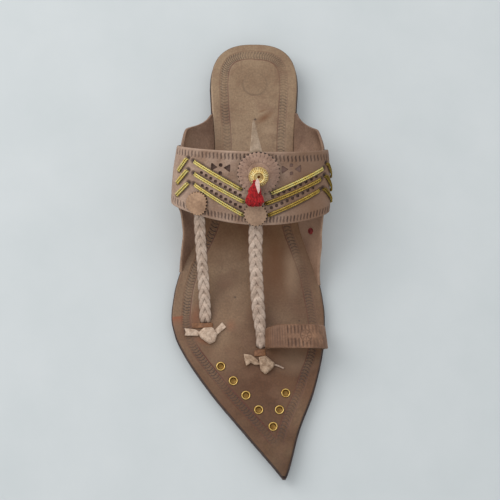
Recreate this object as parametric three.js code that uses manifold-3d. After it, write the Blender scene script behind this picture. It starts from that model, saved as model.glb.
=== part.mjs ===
// A right-foot kolhapuri sandal in millimetres: +Z up, the toe towards -Y, the big toe's side towards +X.
// The origin is on the floor, about under the middle of the sandal.
import * as THREE from 'three';
import { LoftGeometry } from 'three/addons/geometries/LoftGeometry.js';
import { mergeVertices } from 'three/addons/utils/BufferGeometryUtils.js';
import Module from 'manifold-3d';

const wasm = await Module();
wasm.setup();

// Driving sizes of the sole
const SOLE_LENGTH = 302;
const HEEL_BACK = SOLE_LENGTH / 2;
const HEEL_WIDTH = 61.2;
const HEEL_CENTRE_X = 2.7;
const HEEL_ROUND = 33;
const HEEL_SQUARENESS = 2.6;
const INSOLE_THICKNESS = 3.2;
const INSOLE_SETBACK = 0.8;
const PIECE_GAP = 0.3;

// Driving sizes of the upper
const EAR_WALL = 2;
const EAR_FOOT_SETBACK = 0.2;
const EAR_FLARE = 1.4;
const BAND_WALL = 2.4;
const BAND_BITE = 0.8;
const BAND_FRONT = 27.3;
const BAND_REAR = 78;
const BAND_FRONT_TAPER = 11;
const BAND_FRONT_SKEW = 2;
const BAND_REAR_SKEW = 1.4;
const BAND_HALF_LENGTH = 60;
const BAND_LATERAL_END = -78;
const BAND_MEDIAL_END = 73;
const CROWN_X = 4;
const CROWN_FRONT_Z = 45.5;
const CROWN_SLOPE = 0.431;
const WIDEST_RISE = 26;
const LEAN = 0.42;

// Driving sizes of the straps and ornaments
const TOE_STRAP_WALL = 2.2;
const TOE_STRAP_FRONT = -67;
const TOE_STRAP_REAR = -52;
const TOE_STRAP_CROWN_RISE = 21;
const TOE_STRAP_LEAN = { front: 0.17, rear: 0.13 };
const TOE_STRAP_SHEAR = 0.13;
const BRAID_TURN_LENGTH = 12.6;
const STRAP_WALL = 1.4;
const DISC_WALL = 1.8;
const CORD_WIDTH = 2.3;
const CORD_HEIGHT = 1.1;

// The sole's outline: how far each edge lies from the middle, at each distance from the back of the heel.
const SOLE_OUTLINE = [
  { fromHeel: 33, lateral: -27.9, medial: 33.3 },
  { fromHeel: 50, lateral: -27.0, medial: 32.3 },
  { fromHeel: 75, lateral: -25.4, medial: 31.0 },
  { fromHeel: 105, lateral: -28.2, medial: 31.4 },
  { fromHeel: 128, lateral: -33.3, medial: 33.9 },
  { fromHeel: 146, lateral: -41.0, medial: 39.4 },
  { fromHeel: 160, lateral: -47.0, medial: 44.4 },
  { fromHeel: 176, lateral: -51.2, medial: 48.5 },
  { fromHeel: 193, lateral: -53.0, medial: 50.4 },
  { fromHeel: 205, lateral: -50.6, medial: 50.3 },
  { fromHeel: 217, lateral: -45.0, medial: 48.9 },
  { fromHeel: 242, lateral: -28.2, medial: 43.1 },
  { fromHeel: 270, lateral: -5.2, medial: 32.7 },
  { fromHeel: 299, lateral: 19.1, medial: 24.8 },
  { fromHeel: 302, lateral: 21.4, medial: 23.3 },
];

// The outsole from the side: its underside and its top, with a low heel, a raised waist and a lifted toe.
const OUTSOLE_PROFILE = [
  { fromHeel: 0, under: 0, top: 13.5 },
  { fromHeel: 62, under: 0, top: 13.3 },
  { fromHeel: 64, under: 7.4, top: 13.1 },
  { fromHeel: 80, under: 6.9, top: 12.5 },
  { fromHeel: 105, under: 4.7, top: 10.3 },
  { fromHeel: 130, under: 2.2, top: 7.8 },
  { fromHeel: 150, under: 0.6, top: 6.2 },
  { fromHeel: 166, under: 0, top: 5.6 },
  { fromHeel: 238, under: 0, top: 5.6 },
  { fromHeel: 262, under: 0.7, top: 6.2 },
  { fromHeel: 282, under: 2.2, top: 7.6 },
  { fromHeel: 302, under: 4.4, top: 9.4 },
];

// The empty upper's reach past the sole, to each side, at places along the foot.
const UPPER_REACH = [
  { along: 112, lateral: -34, medial: 39 },
  { along: 102, lateral: -40, medial: 43 },
  { along: 91, lateral: -43.8, medial: 46.2 },
  { along: 78, lateral: -46.8, medial: 50 },
  { along: 56, lateral: -49.6, medial: 51.2 },
  { along: 42, lateral: -50.2, medial: 51.2 },
  { along: 32, lateral: -47.8, medial: 50.6 },
  { along: 20, lateral: -48.6, medial: 51.4 },
  { along: 6, lateral: -52.8, medial: 54.4 },
  { along: -8, lateral: -57, medial: 55.4 },
  { along: -24, lateral: -58, medial: 56 },
];

// The height of each side ear's cut edge above the outsole, from its rear end to its front end.
const EAR_EDGE = {
  lateral: [
    { along: 100, rise: 2.6 },
    { along: 95.1, rise: 8.3 },
    { along: 92.8, rise: 14 },
    { along: 91.3, rise: 24.2 },
    { along: 89.5, rise: 26.4 },
    { along: 84, rise: 30 },
    { along: 70, rise: 31 },
    { along: 40, rise: 24 },
    { along: 30, rise: 20.5 },
    { along: 20, rise: 16.5 },
    { along: 10, rise: 12.5 },
    { along: 0, rise: 8.2 },
    { along: -10, rise: 2.6 },
  ],
  medial: [
    { along: 101, rise: 2.6 },
    { along: 95.1, rise: 8.6 },
    { along: 91.8, rise: 15 },
    { along: 90.2, rise: 24.4 },
    { along: 88, rise: 27 },
    { along: 82, rise: 30 },
    { along: 70, rise: 31 },
    { along: 40, rise: 24 },
    { along: 28, rise: 20.5 },
    { along: 16, rise: 16.5 },
    { along: 4, rise: 12 },
    { along: -8, rise: 7.4 },
    { along: -19, rise: 2.6 },
  ],
};

// The gold cords on the band: both ends of each, as millimetres around from the crown and share of the width.
const GOLD_CORDS = [
  { name: 'lateral_rear', fromAround: -41.5, fromShare: 0.795, toAround: -10, toShare: 0.48 },
  { name: 'lateral_middle', fromAround: -40.5, fromShare: 0.61, toAround: -8, toShare: 0.31 },
  { name: 'lateral_front', fromAround: -40, fromShare: 0.45, toAround: -9, toShare: 0.13 },
  { name: 'medial_rear', fromAround: 45, fromShare: 0.72, toAround: 10.5, toShare: 0.44 },
  { name: 'medial_middle', fromAround: 43, fromShare: 0.565, toAround: 6.5, toShare: 0.297 },
  { name: 'medial_front', fromAround: 42, fromShare: 0.405, toAround: 8.5, toShare: 0.14 },
  { name: 'lateral_side_rear', fromAround: -47.4, fromShare: 0.815, toAround: -52.8, toShare: 0.6 },
  { name: 'lateral_side_middle', fromAround: -46.3, fromShare: 0.635, toAround: -53.4, toShare: 0.4 },
  { name: 'lateral_side_front', fromAround: -45.4, fromShare: 0.44, toAround: -53.5, toShare: 0.2 },
  { name: 'medial_side_rear', fromAround: 49.5, fromShare: 0.78, toAround: 56, toShare: 0.55 },
  { name: 'medial_side_middle', fromAround: 47.5, fromShare: 0.6, toAround: 56, toShare: 0.34 },
  { name: 'medial_side_front', fromAround: 46, fromShare: 0.41, toAround: 56, toShare: 0.16 },
];

// The rows of small punched holes that run between the gold cords.
const PUNCHED_ROWS = [
  { fromAround: -36, fromShare: 0.65, toAround: -10.2, toShare: 0.397 },
  { fromAround: -35, fromShare: 0.465, toAround: -10.2, toShare: 0.235 },
  { fromAround: 40, fromShare: 0.617, toAround: 10.6, toShare: 0.388 },
  { fromAround: 37.5, fromShare: 0.46, toAround: 9.8, toShare: 0.237 },
];
const PUNCHED_PER_ROW = 9;
const PUNCHED_SIZE = 2.1;

// The two clusters of cut-outs beside the medallion: a pair of facing triangles between two round holes.
const CUTOUT_CENTRES = [
  { around: -23.4, share: 0.735 },
  { around: 22.8, share: 0.755 },
];
const CUTOUT_TRIANGLE = 4.6;
const CUTOUT_TRIANGLE_OFFSET = 4.6;
const CUTOUT_DOT = 2.5;
const CUTOUT_DOT_OFFSET = 2.75;

// Round leather pieces on the band
const MEDALLION = { around: 1.5, share: 0.715, radius: 14.2, teeth: 30, lift: STRAP_WALL + 2 * PIECE_GAP };
const CENTRE_DISC = { around: -0.5, share: 0.15, radius: 7.9, teeth: 21, lift: STRAP_WALL + 2 * PIECE_GAP };
const SIDE_DISC = { around: -38.7, share: 0.182, radius: 8.8, narrow: 0.84, shear: 0.4, teeth: 23, lift: PIECE_GAP };
const TOOTH_DEPTH = 1;

const BUTTON = { around: 1.5, share: 0.674, radius: 6.5, height: 4 };
const TIP_STRAP = { around: 0.1, width: 9.2, tipWidth: 1.4, tipOffset: -2, fromShare: 0.02, tipPastEdge: 21 };
const TASSEL = { top: 2.6, bottom: 6.8, flatness: 0.62, locks: 10, fromShare: 0.605, toShare: 0.29, around: -0.9 };
const THONG = { around: 0.8, fromShare: 0.655, toShare: 0.48, width: 3.2, wall: 0.9 };

// Braided straps: where each leaves the band and where it enters the insole.
const BRAIDS = {
  centre: { around: -0.5, slotX: 7.2, slotY: -62.5, bow: -1.4, width: 9, endWidth: 4.8, wall: 4 },
  side: { around: -40.2, slotX: -30, slotY: -45.5, bow: 0, width: 6.6, endWidth: 7.4, wall: 3.6 },
};

// Knots of the braids' ends: the knot's middle and the tips of its two flat tails.
const KNOTS = {
  centre: { x: 11.2, y: -74.6, radius: 6.6, tails: [{ x: -2, y: -70.6, width: 5 }, { x: 22, y: -76.6, width: 2.4 }] },
  side: { x: -28, y: -54.9, radius: 6.4, tails: [{ x: -42.4, y: -52.6, width: 6 }, { x: -17, y: -48.4, width: 5 }] },
};
const KNOT_HEIGHT = 4.6;
const TAIL_WALL = 1.6;

// Brass eyelets in a V that follows the pointed toe.
const EYELET_ROWS = [
  { x: -19.5, y: -76, stepX: 8.4, stepY: -9.77, count: 4 },
  { x: 15.2, y: -116.5, stepX: 4.25, stepY: 11.25, count: 3 },
];
const EYELET = { flangeRadius: 3, flangeHeight: 0.8, tubeRadius: 2.4, holeRadius: 2, tubeDepth: 3 };
const RED_STUD = { along: 19.5, rise: 10.4, radius: 2.2, height: 1 };

// Materials
const leather = (color, roughness) => new THREE.MeshStandardMaterial({ color, roughness, metalness: 0 });
const MATERIALS = {
  outsole: leather(0x4a3226, 0.7),
  insole: leather(0x8a6d54, 0.6),
  upper: leather(0xa08470, 0.7),
  pale: leather(0xcdb5a2, 0.75),
  strap: leather(0x946f54, 0.65),
  gold: new THREE.MeshStandardMaterial({ color: 0xd2ab3c, roughness: 0.35, metalness: 0.85 }),
  brass: new THREE.MeshStandardMaterial({ color: 0xc9a24a, roughness: 0.3, metalness: 0.95 }),
  wool: leather(0xb3141c, 0.9),
};

// Reads a table smoothly between its rows, without overshooting them.
function tableReader(table, by) {
  const rows = [...table].sort((a, b) => a[by] - b[by]);
  const slope = (i, column) => (rows[i + 1][column] - rows[i][column]) / (rows[i + 1][by] - rows[i][by]);
  const tangent = (i, column) => {
    const before = slope(Math.max(i - 1, 0), column);
    const after = slope(Math.min(i, rows.length - 2), column);
    return before * after <= 0 ? 0 : (2 * before * after) / (before + after);
  };
  return (at, column) => {
    const place = THREE.MathUtils.clamp(at, rows[0][by], rows[rows.length - 1][by]);
    let i = 0;
    while (i < rows.length - 2 && place > rows[i + 1][by]) i += 1;
    const step = rows[i + 1][by] - rows[i][by];
    const t = (place - rows[i][by]) / step;
    const start = (1 + 2 * t) * (1 - t) ** 2 * rows[i][column] + t * (1 - t) ** 2 * step * tangent(i, column);
    const end = t ** 2 * (3 - 2 * t) * rows[i + 1][column] + t ** 2 * (t - 1) * step * tangent(i + 1, column);
    return start + end;
  };
}

const outlineAt = tableReader(SOLE_OUTLINE, 'fromHeel');
const profileAt = tableReader(OUTSOLE_PROFILE, 'fromHeel');
const reachAt = tableReader(UPPER_REACH, 'along');
const earEdgeAt = { lateral: tableReader(EAR_EDGE.lateral, 'along'), medial: tableReader(EAR_EDGE.medial, 'along') };

const spread = (count) => Array.from({ length: count + 1 }, (_, i) => i / count);
const outsoleTop = (y) => profileAt(HEEL_BACK - y, 'top');
const insoleTop = (y) => outsoleTop(y) + PIECE_GAP + INSOLE_THICKNESS;

// Solids for joining and cutting
function solidOf(geometry) {
  const bare = new THREE.BufferGeometry().copy(geometry);
  bare.deleteAttribute('normal');
  bare.deleteAttribute('uv');
  const merged = mergeVertices(bare, 1e-4);
  const mesh = new wasm.Mesh({
    numProp: 3,
    vertProperties: new Float32Array(merged.attributes.position.array),
    triVerts: new Uint32Array(merged.index.array),
  });
  return new wasm.Manifold(mesh);
}

function geometryOf(solid) {
  const mesh = solid.getMesh();
  const geometry = new THREE.BufferGeometry();
  geometry.setAttribute('position', new THREE.BufferAttribute(new Float32Array(mesh.vertProperties), 3));
  geometry.setIndex(new THREE.BufferAttribute(new Uint32Array(mesh.triVerts), 1));
  geometry.computeVertexNormals();
  return geometry;
}

const closedLoft = (sections) => new LoftGeometry(sections, { capStart: true, capEnd: true });

// A solid of rings that all go the same way round, closed by a point at each end.
function ringSolid(rings, startPoint, endPoint) {
  const count = rings[0].length;
  const points = [startPoint, ...rings.flat(), endPoint];
  const at = (ring, i) => 1 + ring * count + (i % count);
  const index = [];
  for (let i = 0; i < count; i += 1) {
    index.push(0, at(0, i + 1), at(0, i));
    for (let ring = 0; ring < rings.length - 1; ring += 1) {
      index.push(at(ring, i), at(ring, i + 1), at(ring + 1, i));
      index.push(at(ring, i + 1), at(ring + 1, i + 1), at(ring + 1, i));
    }
    index.push(at(rings.length - 1, i), at(rings.length - 1, i + 1), points.length - 1);
  }
  const geometry = new THREE.BufferGeometry().setFromPoints(points);
  geometry.setIndex(index);
  geometry.computeVertexNormals();
  return geometry;
}

// The sole's two edges at a distance from the heel, drawn in by an inset that is measured square to the edge.
function soleEdges(fromHeel, inset) {
  if (fromHeel < HEEL_ROUND) {
    const inward = (HEEL_ROUND - fromHeel) / (HEEL_ROUND - inset);
    const half = (HEEL_WIDTH / 2 - inset) * (1 - Math.min(inward, 1) ** HEEL_SQUARENESS) ** (1 / HEEL_SQUARENESS);
    return { lateral: HEEL_CENTRE_X - half, medial: HEEL_CENTRE_X + half };
  }
  const probe = 0.5;
  const drawnIn = (column) => {
    const slope = (outlineAt(fromHeel + probe, column) - outlineAt(fromHeel - probe, column)) / (2 * probe);
    return inset * Math.hypot(1, slope);
  };
  const lateral = outlineAt(fromHeel, 'lateral') + drawnIn('lateral');
  const medial = outlineAt(fromHeel, 'medial') - drawnIn('medial');
  return { lateral, medial };
}

// The places along the sole where its sections stand: round the heel, along the foot and down to the tip.
function soleStations(inset) {
  const tipSetback = 2 * inset;
  const heel = spread(8).map((t) => {
    const turn = THREE.MathUtils.lerp(0.06, Math.PI / 2, t);
    const depth = 1 - Math.cos(turn) ** (2 / HEEL_SQUARENESS);
    return inset + (HEEL_ROUND - inset) * depth;
  });
  const foot = spread(30).slice(1).map((t) => THREE.MathUtils.lerp(HEEL_ROUND, SOLE_LENGTH - 4 - tipSetback, t));
  const tip = [SOLE_LENGTH - 2 - tipSetback, SOLE_LENGTH - tipSetback];
  const breast = [62.2, 63.8];
  return [...heel, ...foot, ...tip, ...breast].sort((a, b) => a - b);
}

// A layer of the sole between two heights, as sections from the heel to the toe.
function soleLayer(inset, bottomAt, topAt) {
  const across = spread(2);
  const sections = soleStations(inset).map((fromHeel) => {
    const { lateral, medial } = soleEdges(fromHeel, inset);
    const y = HEEL_BACK - fromHeel;
    const row = (z) => across.map((t) => new THREE.Vector3(THREE.MathUtils.lerp(lateral, medial, t), y, z));
    return [...row(bottomAt(y)), ...row(topAt(y)).reverse()];
  });
  return closedLoft(sections);
}

// The last's section at a place along the foot: an arch that springs from the sole's edge, reaches out and closes.
function lastSection(side, along) {
  const baseX = soleEdges(HEEL_BACK - along, EAR_FOOT_SETBACK)[side];
  const baseZ = outsoleTop(along) + PIECE_GAP;
  const reachX = reachAt(along, side);
  const crownZ = CROWN_FRONT_Z + CROWN_SLOPE * (along - BAND_FRONT);
  return { baseX, baseZ, reachX, widestZ: baseZ + WIDEST_RISE, crownZ };
}

// A point of the last: turn is minus a right angle at the sole, 0 at the widest and a right angle at the crown.
function lastPoint(side, along, turn) {
  const { baseX, baseZ, reachX, widestZ, crownZ } = lastSection(side, along);
  const below = turn < 0;
  const climbed = Math.max(1 + turn / (Math.PI / 2), 0);
  const flare = Math.sin((Math.PI / 2) * climbed) ** EAR_FLARE;
  const x = below ? baseX + (reachX - baseX) * flare : CROWN_X + (reachX - CROWN_X) * Math.cos(turn);
  const z = below ? widestZ + WIDEST_RISE * (turn / (Math.PI / 2)) : widestZ + (crownZ - widestZ) * Math.sin(turn);
  return new THREE.Vector3(x, along - LEAN * (z - baseZ), z);
}

function turnAtRise(side, along, rise) {
  const { widestZ, baseZ, crownZ } = lastSection(side, along);
  if (rise <= WIDEST_RISE) return (rise / WIDEST_RISE - 1) * (Math.PI / 2);
  return Math.asin((baseZ + rise - widestZ) / (crownZ - widestZ));
}

function outward(side, along, turn) {
  const probe = 0.01;
  const round = lastPoint(side, along, turn + probe).sub(lastPoint(side, along, turn - probe));
  const lengthways = lastPoint(side, along + probe, turn).sub(lastPoint(side, along - probe, turn));
  const normal = round.cross(lengthways).normalize();
  return side === 'lateral' ? normal : normal.negate();
}

const lifted = (side, along, turn, lift) =>
  lastPoint(side, along, turn).addScaledVector(outward(side, along, turn), lift);

const EAR_ROWS = [0, 0.08, 0.2, 0.42, 0.6, 0.8, 1];

// An ear: a wall from the sole's edge up to its cut edge. Growth widens it all round, to cut its pocket.
function earWall(side, outer, inner, lowest, growth) {
  const table = EAR_EDGE[side];
  const places = table.flatMap(({ along }, i) => {
    const next = table[i + 1];
    if (!next) return [along - growth];
    const start = i === 0 ? along + growth : along;
    const steps = Math.max(Math.round((along - next.along) / 5), 1);
    return spread(steps).slice(0, -1).map((t) => THREE.MathUtils.lerp(start, next.along, t));
  });
  const sections = places.map((along) => {
    const top = earEdgeAt[side](along, 'rise') + growth;
    const turns = EAR_ROWS.map((s) => turnAtRise(side, along, THREE.MathUtils.lerp(lowest, top, s)));
    const outerFace = turns.map((turn) => lifted(side, along, turn, outer));
    const innerFace = turns.map((turn) => lifted(side, along, turn, inner)).reverse();
    const ring = [...outerFace, ...innerFace];
    return side === 'lateral' ? ring.reverse() : ring;
  });
  return solidOf(closedLoft(sections));
}

// Places on the band are given by millimetres around from the crown and by a share of the band's width.
const BAND_MIDDLE = (BAND_FRONT + BAND_REAR) / 2;

function turnTable(side) {
  const step = 0.005;
  const lowest = -Math.PI / 2;
  const table = [{ distance: 0, turn: Math.PI / 2 }];
  let last = lastPoint(side, BAND_MIDDLE, Math.PI / 2);
  for (let turn = Math.PI / 2 - step; turn > lowest; turn -= step) {
    const next = lastPoint(side, BAND_MIDDLE, turn);
    table.push({ distance: table[table.length - 1].distance + next.distanceTo(last), turn });
    last = next;
  }
  return table;
}

const turnAt = {
  lateral: tableReader(turnTable('lateral'), 'distance'),
  medial: tableReader(turnTable('medial'), 'distance'),
};

function bandAlong(around, share) {
  const outwards = around / BAND_HALF_LENGTH;
  const front = BAND_FRONT + BAND_FRONT_TAPER * outwards ** 2 - BAND_FRONT_SKEW * outwards;
  const rear = BAND_REAR - BAND_REAR_SKEW * outwards;
  return THREE.MathUtils.lerp(front, rear, share);
}

function onBand(around, share, lift) {
  const side = around < 0 ? 'lateral' : 'medial';
  const turn = turnAt[side](Math.abs(around), 'turn');
  return lifted(side, bandAlong(around, share), turn, lift);
}

const CROWN_WIDTH = onBand(0, 0, 0).distanceTo(onBand(0, 1, 0));

// A frame standing on the band's outer face: x around, y towards the heel, z outward.
function frameOnBand(around, share, lift) {
  const probe = 0.2;
  const origin = onBand(around, share, lift);
  const x = onBand(around + probe, share, lift).sub(onBand(around - probe, share, lift)).normalize();
  const lengthways = onBand(around, share + 0.01, lift).sub(onBand(around, share - 0.01, lift));
  const z = x.clone().cross(lengthways).normalize();
  const y = z.clone().cross(x);
  return new THREE.Matrix4().makeBasis(x, y, z).setPosition(origin);
}

// The band: sections around the arch, drawn in at both ends so that its corners are round.
function bandWall() {
  const cornerShare = 0.2;
  const cornerLength = 7;
  const across = spread(6);
  const sections = spread(42).map((t) => {
    const around = THREE.MathUtils.lerp(BAND_LATERAL_END, BAND_MEDIAL_END, t);
    const fromEnd = Math.min(around - BAND_LATERAL_END, BAND_MEDIAL_END - around);
    const intoCorner = 1 - Math.min(fromEnd / cornerLength, 1);
    const drawnIn = cornerShare * (1 - Math.sqrt(1 - intoCorner ** 2));
    const shares = across.map((s) => THREE.MathUtils.lerp(drawnIn, 1 - drawnIn, s));
    const innerFace = shares.map((share) => onBand(around, share, -BAND_BITE));
    const outerFace = shares.map((share) => onBand(around, share, BAND_WALL)).reverse();
    return [...innerFace, ...outerFace];
  });
  return solidOf(closedLoft(sections));
}

// A straight-sided punch through the band, from a flat outline.
function punch(outline, around, share) {
  const depth = 9;
  const geometry = new THREE.ExtrudeGeometry(outline, { depth, bevelEnabled: false, curveSegments: 2 });
  geometry.translate(0, 0, -depth / 2);
  geometry.applyMatrix4(frameOnBand(around, share, BAND_WALL / 2));
  return solidOf(geometry);
}

function triangle(size, facing) {
  const shape = new THREE.Shape();
  shape.moveTo(-facing * size * 0.55, 0);
  shape.lineTo(facing * size * 0.45, facing * size * 0.5);
  shape.lineTo(facing * size * 0.45, -facing * size * 0.5);
  return shape;
}

const dot = (size) => new THREE.Shape().absarc(0, 0, size / 2, 0, 2 * Math.PI);

function bandPunches() {
  const punches = [];
  for (const { around, share } of CUTOUT_CENTRES) {
    for (const way of [-1, 1]) {
      punches.push(punch(triangle(CUTOUT_TRIANGLE, way), around + way * CUTOUT_TRIANGLE_OFFSET, share));
      punches.push(punch(dot(CUTOUT_DOT), around, share + (way * CUTOUT_DOT_OFFSET) / CROWN_WIDTH));
    }
  }
  for (const row of PUNCHED_ROWS) {
    for (const t of spread(PUNCHED_PER_ROW - 1)) {
      const around = THREE.MathUtils.lerp(row.fromAround, row.toAround, t);
      const share = THREE.MathUtils.lerp(row.fromShare, row.toShare, t);
      punches.push(punch(dot(PUNCHED_SIZE), around, share));
    }
  }
  return punches;
}

// The upper: the instep band, cut through, joined to both ears where it laps over them.
function upper() {
  const band = bandPunches().reduce((solid, cut) => solid.subtract(cut), bandWall());
  const ears = ['lateral', 'medial'].map((side) => earWall(side, 0, -EAR_WALL, 0, 0));
  return band.add(ears[0]).add(ears[1]);
}

// The toe strap: a flat-topped loop over the big toe, from a slot in the insole to the sole's medial edge.
function toeStrap(growth) {
  const middle = (TOE_STRAP_FRONT + TOE_STRAP_REAR) / 2;
  const slotX = 12.2;
  const flare = 2.6;
  const flatness = 4.2;
  const baseZ = outsoleTop(middle) + 2 * PIECE_GAP;
  const edgeX = soleEdges(HEEL_BACK - middle, EAR_FOOT_SETBACK).medial - TOE_STRAP_WALL / 2;
  const crownX = (slotX + edgeX) / 2;
  const rise = TOE_STRAP_CROWN_RISE + INSOLE_THICKNESS;
  const half = (edgeX - slotX) / 2;
  const centreLine = spread(28).map((t) => {
    const turn = Math.PI * t;
    const x = crownX + half * Math.sign(Math.cos(turn)) * Math.abs(Math.cos(turn)) ** (2 / flatness);
    const z = baseZ + rise * Math.abs(Math.sin(turn)) ** (2 / flatness);
    const bulge = flare * Math.sin(Math.PI * Math.min((z - baseZ) / rise, 1)) * Math.max(Math.cos(turn), 0);
    return new THREE.Vector3(x + bulge, 0, z);
  });
  const wall = TOE_STRAP_WALL / 2 + growth;
  const widthways = spread(3).map((s) => THREE.MathUtils.lerp(TOE_STRAP_FRONT - growth, TOE_STRAP_REAR + growth, s));
  const sections = centreLine.map((point, i) => {
    const before = centreLine[Math.max(i - 1, 0)];
    const after = centreLine[Math.min(i + 1, centreLine.length - 1)];
    const normal = after.clone().sub(before).normalize().cross(new THREE.Vector3(0, 1, 0));
    const outerShare = THREE.MathUtils.clamp((point.x - slotX) / (2 * half), 0, 1);
    const face = (lift) =>
      widthways.map((y) => {
        const place = point.clone().addScaledVector(normal, lift);
        const rearShare = (y - TOE_STRAP_FRONT) / (TOE_STRAP_REAR - TOE_STRAP_FRONT);
        const lean = THREE.MathUtils.lerp(TOE_STRAP_LEAN.front, TOE_STRAP_LEAN.rear, rearShare);
        place.x += TOE_STRAP_SHEAR * (TOE_STRAP_FRONT - y) * outerShare;
        return place.setY(y + lean * (baseZ + rise - place.z));
      });
    return [...face(-wall), ...face(wall).reverse()];
  });
  return solidOf(closedLoft(sections));
}

// A braid: one bar along a curve whose faces rise and fall with the strands plaited over each other in pairs.
function braidPath({ around, slotX, slotY, bow, wall }) {
  const seat = insoleTop(slotY);
  const top = onBand(around, 0, -0.9).add(new THREE.Vector3(0, -0.6, -0.45));
  const low = new THREE.Vector3(slotX, slotY + 7, seat + wall * 0.75);
  const bend = new THREE.Vector3(slotX, slotY + 1.5, seat + wall * 0.28);
  const end = new THREE.Vector3(slotX, slotY, seat - 2.2);
  const middle = top.clone().lerp(low, 0.5).add(new THREE.Vector3(bow, 0, -0.8));
  return new THREE.CatmullRomCurve3([top, middle, low, bend, end], false, 'centripetal');
}

function strandTop(across, phase, width, wall) {
  const swing = width * 0.32;
  const halfStrand = width * 0.24;
  const heights = [0, Math.PI].map((later) => {
    const angle = THREE.MathUtils.euclideanModulo(phase + later, 2 * Math.PI);
    const offset = (Math.abs(across) - swing * Math.sin(angle / 2)) / halfStrand;
    const body = Math.abs(offset) < 1 ? wall * 0.3 * Math.sqrt(1 - offset ** 2) : 0;
    return Math.abs(offset) < 1 ? wall * 0.2 * Math.sin(angle) + body : wall * 0.06;
  });
  return Math.max(wall * 0.08, ...heights);
}

function braid(spec) {
  const curve = braidPath(spec);
  const length = curve.getLength();
  const across = [-0.5, -0.3, -0.1, 0.1, 0.3, 0.5];
  const count = Math.round(length / 1.8);
  const sections = spread(count).map((t) => {
    const point = curve.getPointAt(t);
    const tangent = curve.getTangentAt(t);
    const sideways = new THREE.Vector3(1, 0, 0).addScaledVector(tangent, -tangent.x).normalize();
    const up = sideways.clone().cross(tangent).negate();
    const width = THREE.MathUtils.lerp(spec.width, spec.endWidth, t ** 2);
    const phase = (2 * Math.PI * length * t) / BRAID_TURN_LENGTH;
    const face = (way) =>
      across.map((share) => {
        const edge = Math.abs(share) === 0.5;
        const offset = share * width;
        const height = edge ? spec.wall * 0.14 : strandTop(offset, phase + (way < 0 ? Math.PI : 0), width, spec.wall);
        return point.clone().addScaledVector(sideways, offset).addScaledVector(up, way * height);
      });
    return [...face(-1), ...face(1).reverse()];
  });
  return closedLoft(sections);
}

function braidSlot(spec) {
  const depth = 6;
  const room = 3 * PIECE_GAP;
  const slot = new THREE.BoxGeometry(spec.endWidth + room, spec.wall + 2 * room, depth);
  slot.translate(spec.slotX, spec.slotY + room, insoleTop(spec.slotY));
  return solidOf(slot);
}

// A flat knot: a domed five-sided lump with two flat tails fused on, lying on the insole.
function knot({ x, y, radius, tails }) {
  const floor = insoleTop(y) + PIECE_GAP;
  const dome = [
    { share: 0.84, rise: 0 },
    { share: 1, rise: 0.32 },
    { share: 0.9, rise: 0.76 },
    { share: 0.55, rise: 1 },
  ];
  const rings = dome.map(({ share, rise }) =>
    spread(10).slice(1).map((t) => {
      const angle = 2 * Math.PI * t + Math.PI / 2;
      const fold = 1 + 0.08 * Math.cos(5 * angle + Math.PI / 2);
      const reach = radius * share * fold;
      return new THREE.Vector3(x + reach * Math.cos(angle), y + reach * Math.sin(angle), floor + rise * KNOT_HEIGHT);
    }),
  );
  const tailSolids = tails.map((tail) => {
    const length = Math.hypot(tail.x - x, tail.y - y);
    const strip = new THREE.BoxGeometry(length, tail.width, TAIL_WALL, 3, 1, 1);
    strip.translate(length / 2, 0, TAIL_WALL / 2 + PIECE_GAP);
    strip.rotateZ(Math.atan2(tail.y - y, tail.x - x));
    strip.translate(x, y, floor);
    return solidOf(strip);
  });
  return tailSolids.reduce((solid, tail) => solid.add(tail), solidOf(closedLoft(rings)));
}

// A round leather piece with a pinked edge, shaped to the band; narrow and shear undo the slant of the band.
function pinkedDisc({ around, share, radius, narrow = 1, shear = 0, teeth, lift }) {
  const points = teeth * 2;
  const ring = (reach, height) =>
    spread(points).slice(1).map((t, i) => {
      const angle = 2 * Math.PI * t;
      const tooth = reach === 1 && i % 2 === 0 ? TOOTH_DEPTH : 0;
      const r = radius * reach - tooth;
      const aside = r * narrow * Math.cos(angle);
      const ahead = r * Math.sin(angle) + shear * aside;
      return onBand(around + aside, share + ahead / CROWN_WIDTH, BAND_WALL + height);
    });
  const top = lift + DISC_WALL;
  const rings = [ring(0.6, lift), ring(1, lift), ring(1, top), ring(0.6, top)];
  return ringSolid(rings, onBand(around, share, BAND_WALL + lift), onBand(around, share, BAND_WALL + top));
}

// The brass button: a ribbed dome with a dimple in the middle, on the medallion.
function button() {
  const { radius, height } = BUTTON;
  const profile = [
    new THREE.Vector2(0, 0),
    new THREE.Vector2(radius, 0),
    new THREE.Vector2(radius, height * 0.2),
    new THREE.Vector2(radius * 0.86, height * 0.62),
    new THREE.Vector2(radius * 0.55, height),
    new THREE.Vector2(radius * 0.3, height * 0.9),
    new THREE.Vector2(0, height * 0.55),
  ];
  const dome = new THREE.LatheGeometry(profile, 24).rotateX(Math.PI / 2);
  const seat = BAND_WALL + MEDALLION.lift + DISC_WALL + 2.2 * PIECE_GAP;
  return dome.applyMatrix4(frameOnBand(BUTTON.around, BUTTON.share, seat));
}

// The pale strap that lies on the band under the round pieces and ends in a free point behind the band.
function tipStrap() {
  const { around, width, tipWidth, tipOffset, fromShare, tipPastEdge } = TIP_STRAP;
  const tipShare = 1 + tipPastEdge / CROWN_WIDTH;
  const sections = spread(14).map((t) => {
    const share = THREE.MathUtils.lerp(fromShare, tipShare, t);
    const pastEdge = Math.max(share - 0.94, 0) / (tipShare - 0.94);
    const half = THREE.MathUtils.lerp(width, tipWidth, pastEdge) / 2;
    const middle = around + tipOffset * pastEdge;
    const low = BAND_WALL + PIECE_GAP;
    const face = (lift) => [-half, 0, half].map((offset) => onBand(middle + offset, share, lift));
    return [...face(low + STRAP_WALL), ...face(low).reverse()];
  });
  return closedLoft(sections);
}

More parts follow.
